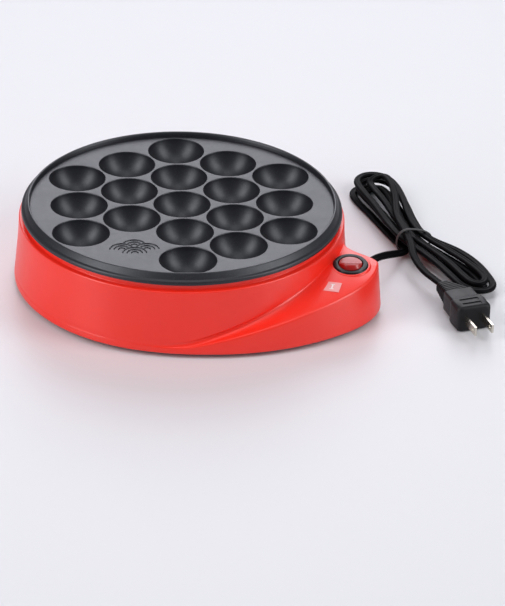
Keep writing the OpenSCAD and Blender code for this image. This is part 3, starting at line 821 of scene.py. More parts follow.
@dataclass
class MainsLead:
    """The flat twin lead from the strain relief through the hank to the plug.

    Lengths are millimetres and angles are degrees. u runs along the hank towards the plug, v across
    it away from the casing, and the tie is at u = 0. lead_places are about the plate's axis, and
    tail_places and tie_outline are in the hank's own axes.
    """

    seat: Vector
    width: float = 5.2
    thickness: float = 2.8
    core_radius: float = 1.57
    core_at: float = 1.18
    groove_depth: float = 0.38
    eases: int = 40
    eased_radius: float = 5.0
    lean: float = 55.0
    lean_rings: int = 38
    line_steps: int = 6
    tie_at: Point = (169.0, 40.0)
    heading: float = -70.4
    run_reach: Point = (83.0, 71.0)
    runs: int = 10
    runs_per_layer: int = 3
    waist: Triple = (2.2, 6.2, 10.0)
    far_fan: Triple = (5.0, 11.4, 14.4)
    near_fan: Triple = (5.0, 8.0, 13.4)
    top_waist: float = -6.5
    bulge: Point = (6.0, 60.0)
    middle_at_tie: float = 2.0
    near_bend: float = 12.8
    far_bend: Point = (5.0, 1.8)
    layer_step: float = 3.5
    tie_lift: float = 1.1
    lead_places: Sequence[Triple] = (
        (137.5, -4.0, 14.4),
        (146.4, 8.2, 10.8),
        (154.5, 17.4, 7.1),
        (161.2, 24.4, 4.3),
    )
    tail_places: Sequence[Triple] = ((28.0, -12.4, 11.6), (41.0, -14.6, 10.5), (54.0, -14.8, 9.8))
    hank_end: Point = (11.0, -7.0)
    exit_sleeve: float = 18.0
    plug_sleeve: float = 21.0
    tie_section: Point = (1.15, 0.55)
    tie_outline: Sequence[Point] = (
        *((-13.9, 4.5), (-13.9, 8.5), (-12.6, 12.2), (-10.0, 14.8), (-6.6, 15.8), (-2.4, 15.3)),
        *((2.6, 13.9), (7.4, 12.2), (10.4, 10.2), (12.8, 7.9), (13.8, 5.0), (13.6, 2.4)),
        *((12.2, 0.9), (8.5, 0.6), (0.0, 0.6), (-8.5, 0.6), (-12.4, 0.9)),
    )

    def hank_point(self, u: float, v: float, z: float) -> Vector:
        """A point of the hank's own axes in the table's frame, in millimetres."""
        along = towards(self.heading)
        return Vector((*self.tie_at, z)) + u * along + v * Z_AXIS.cross(along)

    def share(self, u: float) -> float:
        """Share of the way from the tie to the end of a run."""
        return clamp01(u / self.run_reach[1] if u > 0 else -u / self.run_reach[0])

    def spread(self, u: float) -> float:
        """How far the runs have spread at u, from 0 to 1."""
        return sine(90.0 * self.share(u)) ** 2

    def rank(self, run: int) -> int:
        """How far out a run lies: the spiral goes in for three runs and out for three."""
        k = run % (2 * self.runs_per_layer)
        return self.runs_per_layer - 1 - k if k < self.runs_per_layer else k - self.runs_per_layer

    def side(self, run: int) -> int:
        """The side of the hank on which a run lies."""
        return -1 if run % 2 == 0 else 1

    def layer(self, run: int) -> int:
        """The layer of a run."""
        return run // self.runs_per_layer

    def middle(self, u: float, layer: int) -> float:
        """Where the middle of the hank lies at u: it bends away from the casing."""
        if u > 0:
            return self.middle_at_tie + self.near_bend * sine(90.0 * self.share(u))
        bend, more = self.far_bend
        return self.middle_at_tie + (bend + more * layer) * self.spread(u)

    def run_v(self, run: int, u: float) -> float:
        """The lane of a run at u."""
        fan = self.near_fan if u > 0 else self.far_fan
        top = run == self.runs - 1
        waist = self.top_waist if top else self.side(run) * self.waist[self.rank(run)]
        end = self.side(run) * fan[self.rank(run)]
        out, reach = self.bulge
        bulge = out * sine(180.0 * clamp01(u / reach)) if run % 6 == 5 and u > 0 else 0.0
        return self.middle(u, self.layer(run)) + bulge + waist + (end - waist) * self.spread(u)

    def run_z(self, run: int, u: float) -> float:
        """The height of a run at u."""
        lift = self.tie_lift * (1.0 - self.spread(min(3.0 * abs(u), 100.0)))
        part = self.spread(u) if u < 0 else 0.0
        return self.thickness / 2.0 + lift + (self.layer_step + part) * self.layer(run)

    def station(self, run: int, step: float) -> float:
        """A place along a run, from -3 at its start to 3 at its end."""
        ahead = self.side(run) * step
        return ahead * (self.run_reach[1] if ahead > 0 else self.run_reach[0]) / 3.0

    def run_points(self, run: int, places: Iterable[float]) -> list[Vector]:
        """Points of a run at the given places."""
        return [self.hank_point(u, self.run_v(run, u), self.run_z(run, u)) for u in places]

    def reach_more(self, run: int) -> float:
        """How far the half turn after a run reaches beyond a round one."""
        if run % self.runs_per_layer == self.runs_per_layer - 1:
            return 2.3 * (1 + self.side(run))
        return 1.2 + (1.3 if self.side(run) > 0 else 0.8) * self.layer(run)

    def turn_points(self, run: int) -> list[Vector]:
        """Points of the half turn after a run."""
        end, u = self.side(run), self.station(run, 3)
        a, b = self.run_v(run, u), self.run_v(run + 1, u)
        z, next_z = self.run_z(run, u), self.run_z(run + 1, u)
        reach = abs(a - b) / 2.0 + self.reach_more(run)
        points = []
        for i in range(1, 8):
            v = (a + b) / 2.0 + (a - b) / 2.0 * cosine(22.5 * i)
            height = z + (next_z - z) * (i - 1) / 7.0
            points.append(self.hank_point(u + end * reach * sine(22.5 * i), v, height))
        return points

    def hank(self) -> list[Vector]:
        """The hank's points from the end that the casing feeds to the end at the plug."""
        first = [2.0] + [self.station(0, s) for s in (0.5, 1, 2, 3)]
        points = self.run_points(0, first) + self.turn_points(0)
        for run in range(1, self.runs - 1):
            points += self.run_points(run, [self.station(run, s) for s in range(-3, 4)])
            points += self.turn_points(run)
        last = self.runs - 1
        points += self.run_points(last, [self.station(1, s) for s in range(-3, 1)])
        u, v = self.hank_end
        return points + [self.hank_point(u, v, self.run_z(last, u))]

    def route(self) -> list[Vector]:
        """The whole lead's points, in millimetres, about the plate's axis."""
        out = towards(EXIT_HEADING)
        tip = Vector(EXIT_AT) + self.exit_sleeve * out
        hank = self.hank()
        start = (hank[1] - hank[0]).normalized()
        end = (hank[-1] - hank[-2]).normalized()
        lead = [tip, tip + self.width * out, *map(Vector, self.lead_places), hank[0] - self.width * start]
        sleeve = towards(PLUG_HEADING + SLEEVE_TURN)
        back = Vector(PLUG_AT) - PLUG_LENGTH * towards(PLUG_HEADING) - self.plug_sleeve * sleeve
        middle = [self.hank_point(*place) for place in self.tail_places]
        tail = [hank[-1] + self.width * end, *middle, back - self.width * sleeve, back]
        return lead + hank + tail

    def line(self) -> list[Vector]:
        """The lead's ring centres in the model's frame, with the tight bends eased."""
        path = smooth_line(self.route(), self.line_steps)
        for _ in range(self.eases):
            path = [path[0], *map(self.eased, path, path[1:], path[2:]), path[-1]]
        return [mm(1.0) * p + self.seat for p in path]

    def eased(self, before: Vector, here: Vector, after: Vector) -> Vector:
        """A point moved towards the middle of its neighbours, and further in a tight bend."""
        turn = (here - before).angle(after - here)
        share = clamp01(2.0 * self.eased_radius * turn / (after - before).length)
        return here.lerp((before + after) / 2.0, share / 2.0)

    def roll(self, ring: int) -> float:
        """How far the lead leans at a ring: between the pod and the hank it stands half on edge."""
        return math.radians(self.lean) * sine(180.0 * clamp01(ring / self.lean_rings)) ** 2

    def section(self) -> list[Point]:
        """The twin lead across: two round cores side by side with a shallow groove between."""
        right = arc((self.core_at, 0.0), self.core_radius, -115.0, 115.0, 9)
        left = [(-x, -y) for x, y in right]
        groove = self.core_radius - self.groove_depth
        points = [*right, (0.0, groove), *left, (0.0, -groove)]
        rise = self.core_radius - self.thickness / 2.0
        return [(mm(x), mm(y + rise)) for x, y in points]

    def build(self, pieces: Sequence[Piece | str]) -> Piece:
        """Args:
            pieces: what is on the lead: its relief sleeves, tie and plug; not used.

        Returns:
            The lead.
        """
        path = self.line()
        length = sum((b - a).length for a, b in zip(path, path[1:]))
        lead = sweep("mains_lead", path, self.section(), self.roll)
        for corner in lead.data.vertices:
            corner.co.z = max(corner.co.z, 0.0)
        dress(lead, Finishes.CORD, "cord_black", "cord_lead", "cord_hank", "cord_tail")
        tuple(path[0])
        mm(self.width)
        [tuple(p) for p in path]
        log.info("mains lead: %.3f m", length)
        return lead

    def build_tie(self) -> Piece:
        """A narrow tie, bent closely over the runs at the hank's waist."""
        along = towards(self.heading)
        middle = self.middle(0.0, 0)
        corners = [mm(1.0) * self.hank_point(0.0, middle + v, z) + self.seat for v, z in self.tie_outline]
        steps = 5
        line = smooth_line(corners[-1:] + corners + corners[:2], steps)[steps : steps + steps * len(corners)]
        wide, thick = (mm(c) for c in self.tie_section)
        section = arc((0.0, 0.0), 1.0, 0.0, 330.0, 11)
        work = bmesh.new()
        rings = []
        for i, centre in enumerate(line):
            ahead = (line[(i + 1) % len(line)] - line[i - 1]).normalized()
            out = along.cross(ahead).normalized()
            rings.append([work.verts.new(centre + wide * x * along + thick * y * out) for x, y in section])
        skin(work, rings, looped=True)
        tie = finished("hank_tie", work, 80.0)
        return dress(tie, Finishes.TIE, "tie_black", "cord_tie")


@dataclass(frozen=True)
class Slab:
    """One rounded rectangle across the plug's axis, in millimetres."""

    at: float
    width: float
    height: float
    corner: float


@dataclass
class Plug:
    """The moulded plug with its ribbed sleeve, in millimetres along its own axis."""

    seat: Vector
    ribs: int = 7
    rib_pitch: float = 2.9
    rib_start: float = -0.9
    rib_size: Point = (18.4, 13.4)
    rib_taper: Point = (1.3, 0.9)
    rib: Sequence[Triple] = ((0.0, 0.8, 2.4), (0.3, 0.0, 2.6), (1.3, 0.0, 2.6), (1.6, 0.8, 2.4))
    body: Sequence[Slab] = (
        Slab(0.0, 20.6, 14.8, 3.0),
        Slab(-0.3, 22.6, 16.8, 3.4),
        Slab(-1.0, 24.2, 18.3, 3.4),
        Slab(-2.4, 25.3, 19.3, 3.2),
        Slab(-12.5, 25.4, 19.4, 3.0),
        Slab(-15.4, 24.9, 19.0, 3.2),
        Slab(-16.6, 23.8, 18.0, 3.2),
        Slab(-17.0, 22.0, 16.4, 3.0),
    )
    neck: Sequence[Slab] = (
        Slab(-14.0, 21.6, 16.6, 2.0),
        Slab(-20.0, 21.6, 16.2, 2.0),
        Slab(-30.6, 21.4, 15.6, 2.0),
        Slab(-31.6, 20.8, 15.0, 2.0),
        Slab(-32.0, 19.4, 13.8, 1.8),
    )
    sleeve: Sequence[Slab] = (
        Slab(4.0, 14.0, 10.4, 2.6),
        Slab(-1.0, 14.0, 10.4, 2.6),
        Slab(-20.4, 7.4, 5.6, 2.4),
        Slab(-21.0, 6.2, 4.6, 2.0),
    )
    pockets: Sequence[float] = (-13.0, -7.0)
    pocket_height: float = 9.7

    def at_plug(self, turn: float = 0.0, back: float = 0.0) -> Matrix:
        """The plug's own axes in the model's frame, turned about a point behind the front face."""
        place = Matrix.Translation(mm(1.0) * Vector(PLUG_AT) + self.seat)
        bend = Matrix.Translation((mm(-back), 0.0, 0.0)) @ turned(turn, "Z")
        return place @ turned(PLUG_HEADING, "Z") @ bend

    def loft(self, work: Work, slabs: Sequence[Slab], place: Matrix) -> None:
        """Adds a closed form through rounded rectangles.

        Args:
            work: the mesh that it is added to.
            slabs: the rectangles from front to back.
            place: where the axis lies.
        """
        rings = []
        for slab in slabs:
            w, h, r = slab.width / 2.0 - slab.corner, slab.height / 2.0 - slab.corner, slab.corner
            across: list[Point] = []
            for k, (cx, cy) in enumerate(((w, h), (-w, h), (-w, -h), (w, -h))):
                across += arc((cx, cy), r, 90.0 * k, 90.0 * k + 90.0, 6)
            rings.append([work.verts.new(place @ Vector((mm(slab.at), mm(x), mm(y)))) for x, y in across])
        skin(work, rings)

    def build(self) -> list[Piece]:
        """Makes the plug's body and its sleeve."""
        work = bmesh.new()
        self.loft(work, self.body, self.at_plug())
        self.loft(work, self.neck, self.at_plug())
        body = finished("plug_moulding", work, 40.0)
        pockets = bmesh.new()
        for x in self.pockets:
            pocket = (Slab(x + 4.0, 14.0, 1.2, 0.5), Slab(x, 14.0, 1.2, 0.5))
            for height in (-self.pocket_height, self.pocket_height):
                self.loft(pockets, pocket, self.at_plug() @ Matrix.Translation((0.0, 0.0, mm(height))))
        carve(body, finished("plug_pockets", pockets, 40.0))
        sleeve = bmesh.new()
        place = self.at_plug(SLEEVE_TURN, PLUG_LENGTH)
        self.loft(sleeve, self.sleeve, place)
        for i in range(self.ribs):
            at = self.rib_start - i * self.rib_pitch
            w, h = (size - taper * i for size, taper in zip(self.rib_size, self.rib_taper))
            self.loft(sleeve, [Slab(at - back, w - d, h - d, r) for back, d, r in self.rib], place)
        ribbed = finished("plug_sleeve", sleeve, 40.0)
        return [
            dress(body, Finishes.PLUG, "cord_black", "plug_body"),
            dress(ribbed, Finishes.PLUG, "cord_black", "plug_relief"),
        ]


# ---- the plate ----


@dataclass
class CookingPlate:
    """The cast plate: floor, eighteen cups, lip, flange, underside and wave ornament."""

    seat: Vector
    pitch: float = 42.0
    mouth_radius: float = 20.1
    depth: float = 17.5
    floor_z: float = 58.0
    wall: float = 2.0
    edge_radius: float = 0.55
    sides: int = 72
    rows: Sequence[tuple[int, float]] = ((0, 2.0), (1, 1.5), (-1, 1.5), (2, 1.0), (-2, 1.0))
    under_mouth: float = 20.8
    weld: float = 0.02
    rim: Sequence[Point] = (
        *((107.2, 0.0), (107.45, 1.6), (107.75, 2.8), (108.1, 3.2), (108.6, 3.3), (109.1, 3.2)),
        *((109.5, 2.9), (111.2, -0.7), (111.7, -1.2), (112.6, -1.55), (113.1, -1.9), (113.35, -2.5)),
        *((113.6, -3.9), (113.5, -4.25), (111.8, -4.3), (111.8, -3.8), (107.2, -3.8), (106.0, -2.4)),
    )
    rim_sides: int = 180
    wave_at: Point = (-36.37, -63.0)
    wave_rows: Sequence[Sequence[Point]] = (((0.0, 1.5),), ((-8.8, -4.0), (8.8, -4.0)), ((0.0, -9.5),))
    wave_rings: Triple = (8.3, 5.3, 2.3)
    wave_cut: float = 8.8
    line_half: float = 0.5
    line_height: float = 0.6
    line_sunk: float = 0.03

    def cups(self) -> list[Point]:
        """The cups' centres: rows across, without the place of the ornament."""
        column = self.pitch * math.sqrt(3.0) / 2.0
        return [
            (row * column, (step - half) * self.pitch)
            for row, half in self.rows
            for step in range(int(2 * half) + 1)
            if not (row == -1 and step == 0)
        ]

    def cup_profile(self) -> list[Point]:
        """A cup from its rounded edge down the inside and up the outside, about the floor's height."""
        ball = (self.mouth_radius**2 + self.depth**2) / (2.0 * self.depth)
        centre = ball - self.depth
        steep = math.degrees(math.asin(-centre / ball))
        inside = arc((0.0, centre), ball, steep - 2.0, -90.0, 16)
        lip_r = self.edge_radius
        edge = arc((inside[0][0] + lip_r, -lip_r), lip_r, 90.0, 168.0, 5)
        low = math.degrees(math.asin((-2.4 - centre) / (ball + self.wall)))
        outside = arc((0.0, centre), ball + self.wall, -90.0, low, 10)
        return edge + inside + outside

    def sheet_plan(self, board: NodeBoard, inputs: Wire) -> Wire:
        """Fills the floor and the underside round the cups, and sets a cup on each place."""

        def sheet(hole: str, outer: str, height: str) -> Wire:
            """A flat sheet with a round hole at each cup, by the names of its three inputs."""
            small = {"Resolution": self.sides, "Radius": inputs.output(hole)}
            ring = board.node("GeometryNodeCurvePrimitiveCircle", small)
            holes = board.node("GeometryNodeInstanceOnPoints", {"Points": inputs, "Instance": ring})
            loose = board.node("GeometryNodeRealizeInstances", {"Geometry": holes})
            large = {"Resolution": self.rim_sides, "Radius": inputs.output(outer)}
            edge = board.node("GeometryNodeCurvePrimitiveCircle", large)
            both = board.node("GeometryNodeJoinGeometry", {"Geometry": [loose, edge]})
            filled = board.node("GeometryNodeFillCurve", {"Curve": both}, mode="TRIANGLES")
            lift = board.node("ShaderNodeCombineXYZ", {"Z": inputs.output(height)})
            return board.node("GeometryNodeTransform", {"Geometry": filled, "Translation": lift})

        cup = board.node("GeometryNodeObjectInfo", {"Object": inputs.output("Cup")}).output("Geometry")
        cups = board.node("GeometryNodeInstanceOnPoints", {"Points": inputs, "Instance": cup})
        real = board.node("GeometryNodeRealizeInstances", {"Geometry": cups})
        top = sheet("Mouth radius", "Floor radius", "Floor height")
        under = sheet("Under mouth", "Under radius", "Under height")
        flipped = board.node("GeometryNodeFlipFaces", {"Mesh": under})
        whole = board.node("GeometryNodeJoinGeometry", {"Geometry": [real, top, flipped]})
        joined = board.node("GeometryNodeMergeByDistance", {"Geometry": whole, "Distance": mm(self.weld)})
        solid = board.node("GeometryNodeRealizeInstances", {"Geometry": joined})
        dressed = {"Geometry": solid, "Material": inputs.output("Material")}
        return board.node("GeometryNodeSetMaterial", dressed)

    def castings(self) -> Piece:
        """The floor with its cups and the underside."""
        profile = self.cup_profile()
        cup = new_object("cup_form", revolve("cup_form", profile, self.sides))
        places = bpy.data.meshes.new("cup_places")
        places.from_pydata([(mm(x), mm(y), 0.0) for x, y in self.cups()], [], [])
        lengths = {
            "Mouth radius": profile[0][0],
            "Floor radius": self.rim[0][0],
            "Floor height": 0.0,
            "Under mouth": self.under_mouth,
            "Under radius": self.rim[-1][0],
            "Under height": self.rim[-1][1],
        }
        settings = {
            "Cup": ("NodeSocketObject", cup),
            **{label: ("NodeSocketFloat", mm(length)) for label, length in lengths.items()},
            "Material": ("NodeSocketMaterial", Finishes.PLATE.material),
        }
        sheet = grow("plate_sheet", places, settings, self.sheet_plan)
        bpy.data.objects.remove(cup)
        return sheet

    def build(self) -> Piece:
        """Joins the sheet, the rim and the ornament into one casting on the model's frame."""
        sheet = self.castings()
        work = bmesh.new()
        work.from_mesh(sheet.data)
        work.from_mesh(revolve("rim", self.rim, self.rim_sides))
        bmesh.ops.remove_doubles(work, verts=work.verts, dist=mm(self.weld))
        bmesh.ops.recalc_face_normals(work, faces=work.faces)
        for centre, radius, start, end in self.wave_arcs():
            self.raised_arc(work, centre, radius, start, end)
        place = self.seat + Vector((0.0, 0.0, mm(self.floor_z)))
        bmesh.ops.translate(work, verts=work.verts, vec=place)
        bpy.data.objects.remove(sheet)
        plate = finished("cup_plate", work, 40.0)
        return dress(plate, Finishes.PLATE, "plate_coated", "cooking_plate", body="plate")

    def wave_arcs(self) -> list[tuple[Point, float, float, float]]:
        """The ornament's arcs: centre, radius, and first and last angle in degrees."""
        arcs = []
        for row, centres in enumerate(self.wave_rows):
            cutters = self.wave_rows[row + 1] if row + 1 < len(self.wave_rows) else ()
            for x, y in centres:
                for radius in self.wave_rings:
                    arcs += self.seen_arcs((x, y), radius, cutters)
        return arcs

    def seen_arcs(
        self, centre: Point, radius: float, cutters: Sequence[Point]
    ) -> list[tuple[Point, float, float, float]]:
        """The stretches of a half circle that the next row's discs leave."""
        kept: list[list[float]] = []
        for step in range(0, 181, 3):
            x, y = centre[0] + radius * cosine(step), centre[1] + radius * sine(step)
            if any(math.hypot(x - cx, y - cy) < self.wave_cut for cx, cy in cutters):
                continue
            if kept and step - kept[-1][1] < 4:
                kept[-1][1] = step
            else:
                kept.append([step, step])
        middle = (self.wave_at[0] + centre[0], self.wave_at[1] + centre[1])
        return [(middle, radius, first, last) for first, last in kept if last - first > 8]

    def raised_arc(
        self, work: Work, centre: Point, radius: float, start: float, end: float
    ) -> None:
        """A low rounded line with round ends on the floor.

        Args:
            work: the mesh that it is added to.
            centre: the arc's centre, in millimetres.
            radius: the arc's radius, in millimetres.
            start: its first angle, in degrees.
            end: its last angle, in degrees.
        """
        count = max(3, int((end - start) / 6.0))
        rings = []
        for i in range(count + 1):
            angle = start + (end - start) * i / count
            c, s = cosine(angle), sine(angle)
            size = 0.35 if i in (0, count) else 1.0
            ring = []
            for across, up in arc((0.0, 0.0), 1.0, 0.0, 180.0, 6):
                reach = radius + self.line_half * size * across
                height = self.line_height * size * up - self.line_sunk
                corner = (centre[0] + reach * c, centre[1] + reach * s, height)
                ring.append(work.verts.new([mm(value) for value in corner]))
            rings.append(ring)
        skin(work, rings, open_side=True)


# ---- screws ----


@dataclass
class Screws:
    """A set of equal pan-head screws with a cross recess, all upright or all head down."""

    name: str
    node: str
    places: Sequence[Point]
    seat_z: float
    head_radius: float
    head_height: float
    shank_radius: float
    shank_length: float
    head_down: bool = False
    thread: float = 0.8

    def form(self) -> Piece:
        """One screw whose head sits on the plane z = 0."""
        r, h = self.head_radius, self.head_height
        head = ((0.0, 1.0), (0.55, 0.97), (0.82, 0.78), (0.96, 0.45), (1.0, 0.1), (0.97, 0.0))
        profile = [(x * r, y * h) for x, y in head] + [(self.shank_radius, 0.0)]
        for i in range(int(self.shank_length / self.thread)):
            z = -self.thread * i
            profile += [(self.shank_radius, z - 0.35), (0.82 * self.shank_radius, z - 0.7)]
        profile += [(0.5 * self.shank_radius, -self.shank_length), (0.0, -self.shank_length)]
        screw = new_object(self.name + "_form", revolve(self.name, profile, 28))
        cross = bmesh.new()
        for w, d in ((1.1 * r, 0.26 * r), (0.26 * r, 1.1 * r)):
            add_block(cross, (w, d, 1.4 * h), (0.0, 0.0, 1.05 * h))
        carve(screw, finished(self.name + "_cross", cross))
        if self.head_down:
            screw.data.transform(turned(180.0, "X"))
        return screw

    def plan(self, board: NodeBoard, inputs: Wire) -> Wire:
        """Sets a screw on each place, each turned by its own angle."""
        form = board.node("GeometryNodeObjectInfo", {"Object": inputs.output("Screw")}).output("Geometry")
        index = board.node("GeometryNodeInputIndex")
        turn = board.node("ShaderNodeCombineXYZ", {"Z": index * inputs.output("Turn")})
        euler = board.node("FunctionNodeEulerToRotation", {"Euler": turn})
        sets = {"Points": inputs, "Instance": form, "Rotation": euler}
        screws = board.node("GeometryNodeInstanceOnPoints", sets)
        real = board.node("GeometryNodeRealizeInstances", {"Geometry": screws})
        dressed = {"Geometry": real, "Material": inputs.output("Material")}
        return board.node("GeometryNodeSetMaterial", dressed)

    def build(self, seat: Vector) -> Piece:
        """Makes the set and puts it on the base."""
        form = self.form()
        places = bpy.data.meshes.new(self.name + "_places")
        places.from_pydata([(mm(x), mm(y), mm(self.seat_z)) for x, y in self.places], [], [])
        settings = {
            "Screw": ("NodeSocketObject", form),
            "Turn": ("NodeSocketFloat", 1.1),
            "Material": ("NodeSocketMaterial", Finishes.SCREW.material),
        }
        screws = grow(self.name, places, settings, self.plan)
        bpy.data.objects.remove(form)
        screws.data.transform(Matrix.Translation(seat))
        return dress(screws, Finishes.SCREW, "screw_steel", self.node)


def ring_places(angles: Iterable[float], radius: float) -> list[Point]:
    """Places on a circle about the plate's axis, in millimetres."""
    return [(radius * cosine(a), radius * sine(a)) for a in angles]


def clamp_places(inward: float = 10.0, apart: float = 11.2) -> list[Point]:
    """The two screws of the cord clamp, in millimetres."""
    along = towards(EXIT_HEADING)
    middle = Vector(EXIT_AT) - inward * along
    side = apart / 2.0 * Z_AXIS.cross(along)
    return [tuple(place.xy) for place in (middle - side, middle + side)]


SCREW_SETS = (
    Screws(
        "underside_screws",
        "cover_screws",
        ring_places(BOSS_ANGLES, BOSS_RING),
        seat_z=3.4,
        head_radius=2.8,
        head_height=1.6,
        shank_radius=1.3,
        shank_length=12.0,
        head_down=True,
    ),
    Screws(
        "pan_screws",
        "reflector_screws",
        ring_places((60, 147, 234), 54.0),
        seat_z=23.8,
        head_radius=2.8,
        head_height=1.6,
        shank_radius=1.5,
        shank_length=5.8,
    ),
    Screws(
        "clamp_screw_pair",
        "clamp_screws",
        clamp_places(),
        seat_z=20.5,
        head_radius=2.2,
        head_height=1.3,
        shank_radius=1.25,
        shank_length=10.0,
    ),
)


# ---- casing, switch and heating parts ----


def soft_min(a: float, b: float, width: float) -> float:
    """The lower of two values, blended over a width."""
    share = max(width - abs(a - b), 0.0) / width
    return min(a, b) - share * share * width / 4.0


def soft_max(a: float, b: float, width: float) -> float:
    """The higher of two values, blended over a width."""
    return -soft_min(-a, -b, width)


@dataclass
class Casing:
    """The red housing: a section for each angle round the axis, swept up into the wing and pod.

    Lengths are millimetres about the plate's axis, and angles are degrees.
    """

    seat: Vector
    wall_top: float = 115.3
    lean: float = 0.088
    lean_below: float = 41.0
    ledge: float = 49.3
    collar: float = 111.1
    collar_inner: float = 110.4
    collar_top: float = 53.4
    shell: float = 2.5
    skirt: float = 3.0
    wing_start: float = -99.7
    wing_rise: float = 0.5
    crease_start: float = -107.7
    crease_rise: float = 0.536
    pod_tilt: float = 6.5
    pod_lean: float = 0.09
    pod_flank: tuple[Point, float] = ((21.0, 34.0), 155.0)
    pod_end: tuple[Point, float] = ((39.0, -42.0), 100.0)
    pod_edge: float = 46.9
    pod_edge_heading: float = 52.3
    pod_blend: float = 10.0
    switch_at: Triple = (115.7, -55.0, 37.0)
    pod_front: float = -121.0
    pod_back: float = -10.0
    pod_corner: float = -25.0
    switch_hole: float = 10.2
    lead_hole: float = 5.2
    sleeve_hole: float = 6.8
    ring: Sequence[Point] = (
        *((14.2, -1.5), (14.2, -0.1), (14.15, 0.35), (13.9, 0.68), (13.5, 0.8)),
        *((10.4, 0.8), (10.2, 0.6), (10.2, -1.5)),
    )
    boss: Sequence[Point] = ((4.0, 22.4), (4.0, 5.4), (1.3, 5.4), (1.3, 22.4))

    def wall(self, z: float) -> float:
        """Radius of the plain wall at a height."""
        return self.wall_top + self.lean * soft_max(0.0, self.lean_below - z, 12.0)

    def to_circle(self, a: float, centre: Point, radius: float) -> float:
        """Distance from the axis to a circle along an angle."""
        c = centre[0] * cosine(a) + centre[1] * sine(a)
        return c + math.sqrt(radius**2 - centre[0] ** 2 - centre[1] ** 2 + c * c)

    def pod(self, a: float) -> float:
        """Radius of the pod's outline at the skirt: flank, end and back edge."""
        if a < self.pod_front or a > self.pod_back:
            return 0.0
        front = soft_min(self.to_circle(a, *self.pod_flank), self.to_circle(a, *self.pod_end), self.pod_blend)
        back = self.pod_edge / max(0.01, cosine(a - self.pod_edge_heading))
        return soft_min(front, back, self.pod_blend)

    def outline(self, a: float, z: float) -> float:
        """Radius of the whole outline at a height."""
        blend = 16.0 if a > self.pod_corner else 4.0
        return soft_max(self.wall(z), self.pod(a) - self.pod_lean * (z - self.skirt), blend)

    def pod_top(self, y: float) -> float:
        """Height of the pod's tilted top at a distance behind the axis."""
        return self.switch_at[2] + math.tan(math.radians(self.pod_tilt)) * (y - self.switch_at[1])

    def edge(self, a: float) -> float:
        """Height of the wing's outer edge."""
        rise = self.skirt + self.wing_rise * (a - self.wing_start)
        top = self.pod_top(sine(a) * self.outline(a, 30.0))
        return soft_max(soft_min(rise, top, 6.0), 7.5, 3.0)

    def crease(self, a: float) -> float:
        """Height of the crease on the wall above the wing."""
        rise = self.skirt + self.crease_rise * (a - self.crease_start)
        lip = 0.5 + 2.2 * clamp01((-20.0 - a) / 10.0)
        top = self.pod_top(sine(a) * 116.0) + lip
        return soft_max(soft_min(rise, top, 6.0), 11.0, 3.0)

    def section(self, a: float) -> list[Point]:
        """The shell's closed section at an angle, from the collar down the outside and up the inside."""
        back = clamp01((a - self.pod_back) / 200.0)
        behind = a > self.pod_back
        crease = 41.5 - 30.5 * back if behind else self.crease(a)
        edge = 40.2 - 32.7 * back if behind else min(self.edge(a), self.crease(a) - 2.4)
        foot, edge_r, wall = self.outline(a, self.skirt), self.outline(a, edge), self.wall(crease)
        width = max(0.0, edge_r - self.wall(edge))
        strength = clamp01(width / 4.0)
        scoop = min(0.9 * width, 9.5 * clamp01((-22.0 - a) / 24.0))
        under_r = wall - 1.2 * strength * clamp01((-20.0 - a) / 10.0)
        under_z = crease - 0.7 - 0.7 * strength
        flat_r = max(self.wall(edge), under_r + scoop + 1.2 * strength)
        flat_z = min(under_z - 0.5, edge + 0.4 + 0.1 * (edge_r - flat_r))
        collar = (
            (self.collar_inner, 48.0),
            (self.collar_inner, self.collar_top),
            (self.collar, self.collar_top),
            (self.collar, self.ledge),
            (self.wall_top, self.ledge),
            (self.wall_top, self.ledge - 3.0),
        )
        points: list[Point] = []
        for i, reach in enumerate((0.3, 0.4, 0.3, 0.9)):
            points += rounded_corner(*collar[i : i + 3], reach)
        for share in (0.25, 0.5, 0.75):
            z = self.ledge - 1.2 + (crease - self.ledge + 1.2) * share
            points.append((self.wall(z), z))
        above = (self.wall(crease + 2.0), crease + 2.0)
        points += rounded_corner(above, (wall, crease), (under_r, under_z), 0.35)
        for k in range(9):
            r = under_r + (flat_r - under_r) * (1.0 - cosine(11.25 * k))
            points.append((r, flat_z + (under_z - flat_z) * (1.0 - sine(11.25 * k))))
        points += rounded_corner((flat_r, flat_z), (edge_r, edge), (foot, self.skirt), 0.5 + 0.9 * strength)
        points += rounded_corner((edge_r, edge), (foot, self.skirt), (foot - 4.0, self.skirt), 1.6)
        inside = [
            (foot - 1.5 - self.shell, self.skirt),
            (edge_r - self.shell, edge - self.shell - strength),
            (flat_r - self.shell + 1.5 * strength, flat_z - self.shell),
            (under_r - self.shell, flat_z + 0.5),
            (wall - self.shell, crease + 1.5),
            (112.6, 47.0),
            (self.collar_inner, 47.0),
        ]
        return points + inside

    def shell_mesh(self) -> Work:
        """The shell without its openings."""
        fine = [-110.0 + 0.5 * i for i in range(202)]
        coarse = [-9.0 + 3.0 * i for i in range(86)]
        work = bmesh.new()
        rings = []
        for angle in fine + coarse:
            a = angle - 360.0 if angle > 180.0 else angle
            c, s = cosine(angle), sine(angle)
            rings.append([work.verts.new((mm(r * c), mm(r * s), mm(z))) for r, z in self.section(a)])
        skin(work, rings, looped=True)
        return work

    def on_pod(self) -> Matrix:
        """The frame of the pod's top, about the switch's centre."""
        place = Matrix.Translation(mm(1.0) * Vector(self.switch_at))
        return place @ turned(self.pod_tilt, "X")

    def at_exit(self) -> Matrix:
        """The frame of the lead's exit, z outwards."""
        place = Matrix.Translation(mm(1.0) * Vector(EXIT_AT))
        return place @ turned(EXIT_HEADING, "Z") @ turned(90.0, "Y")

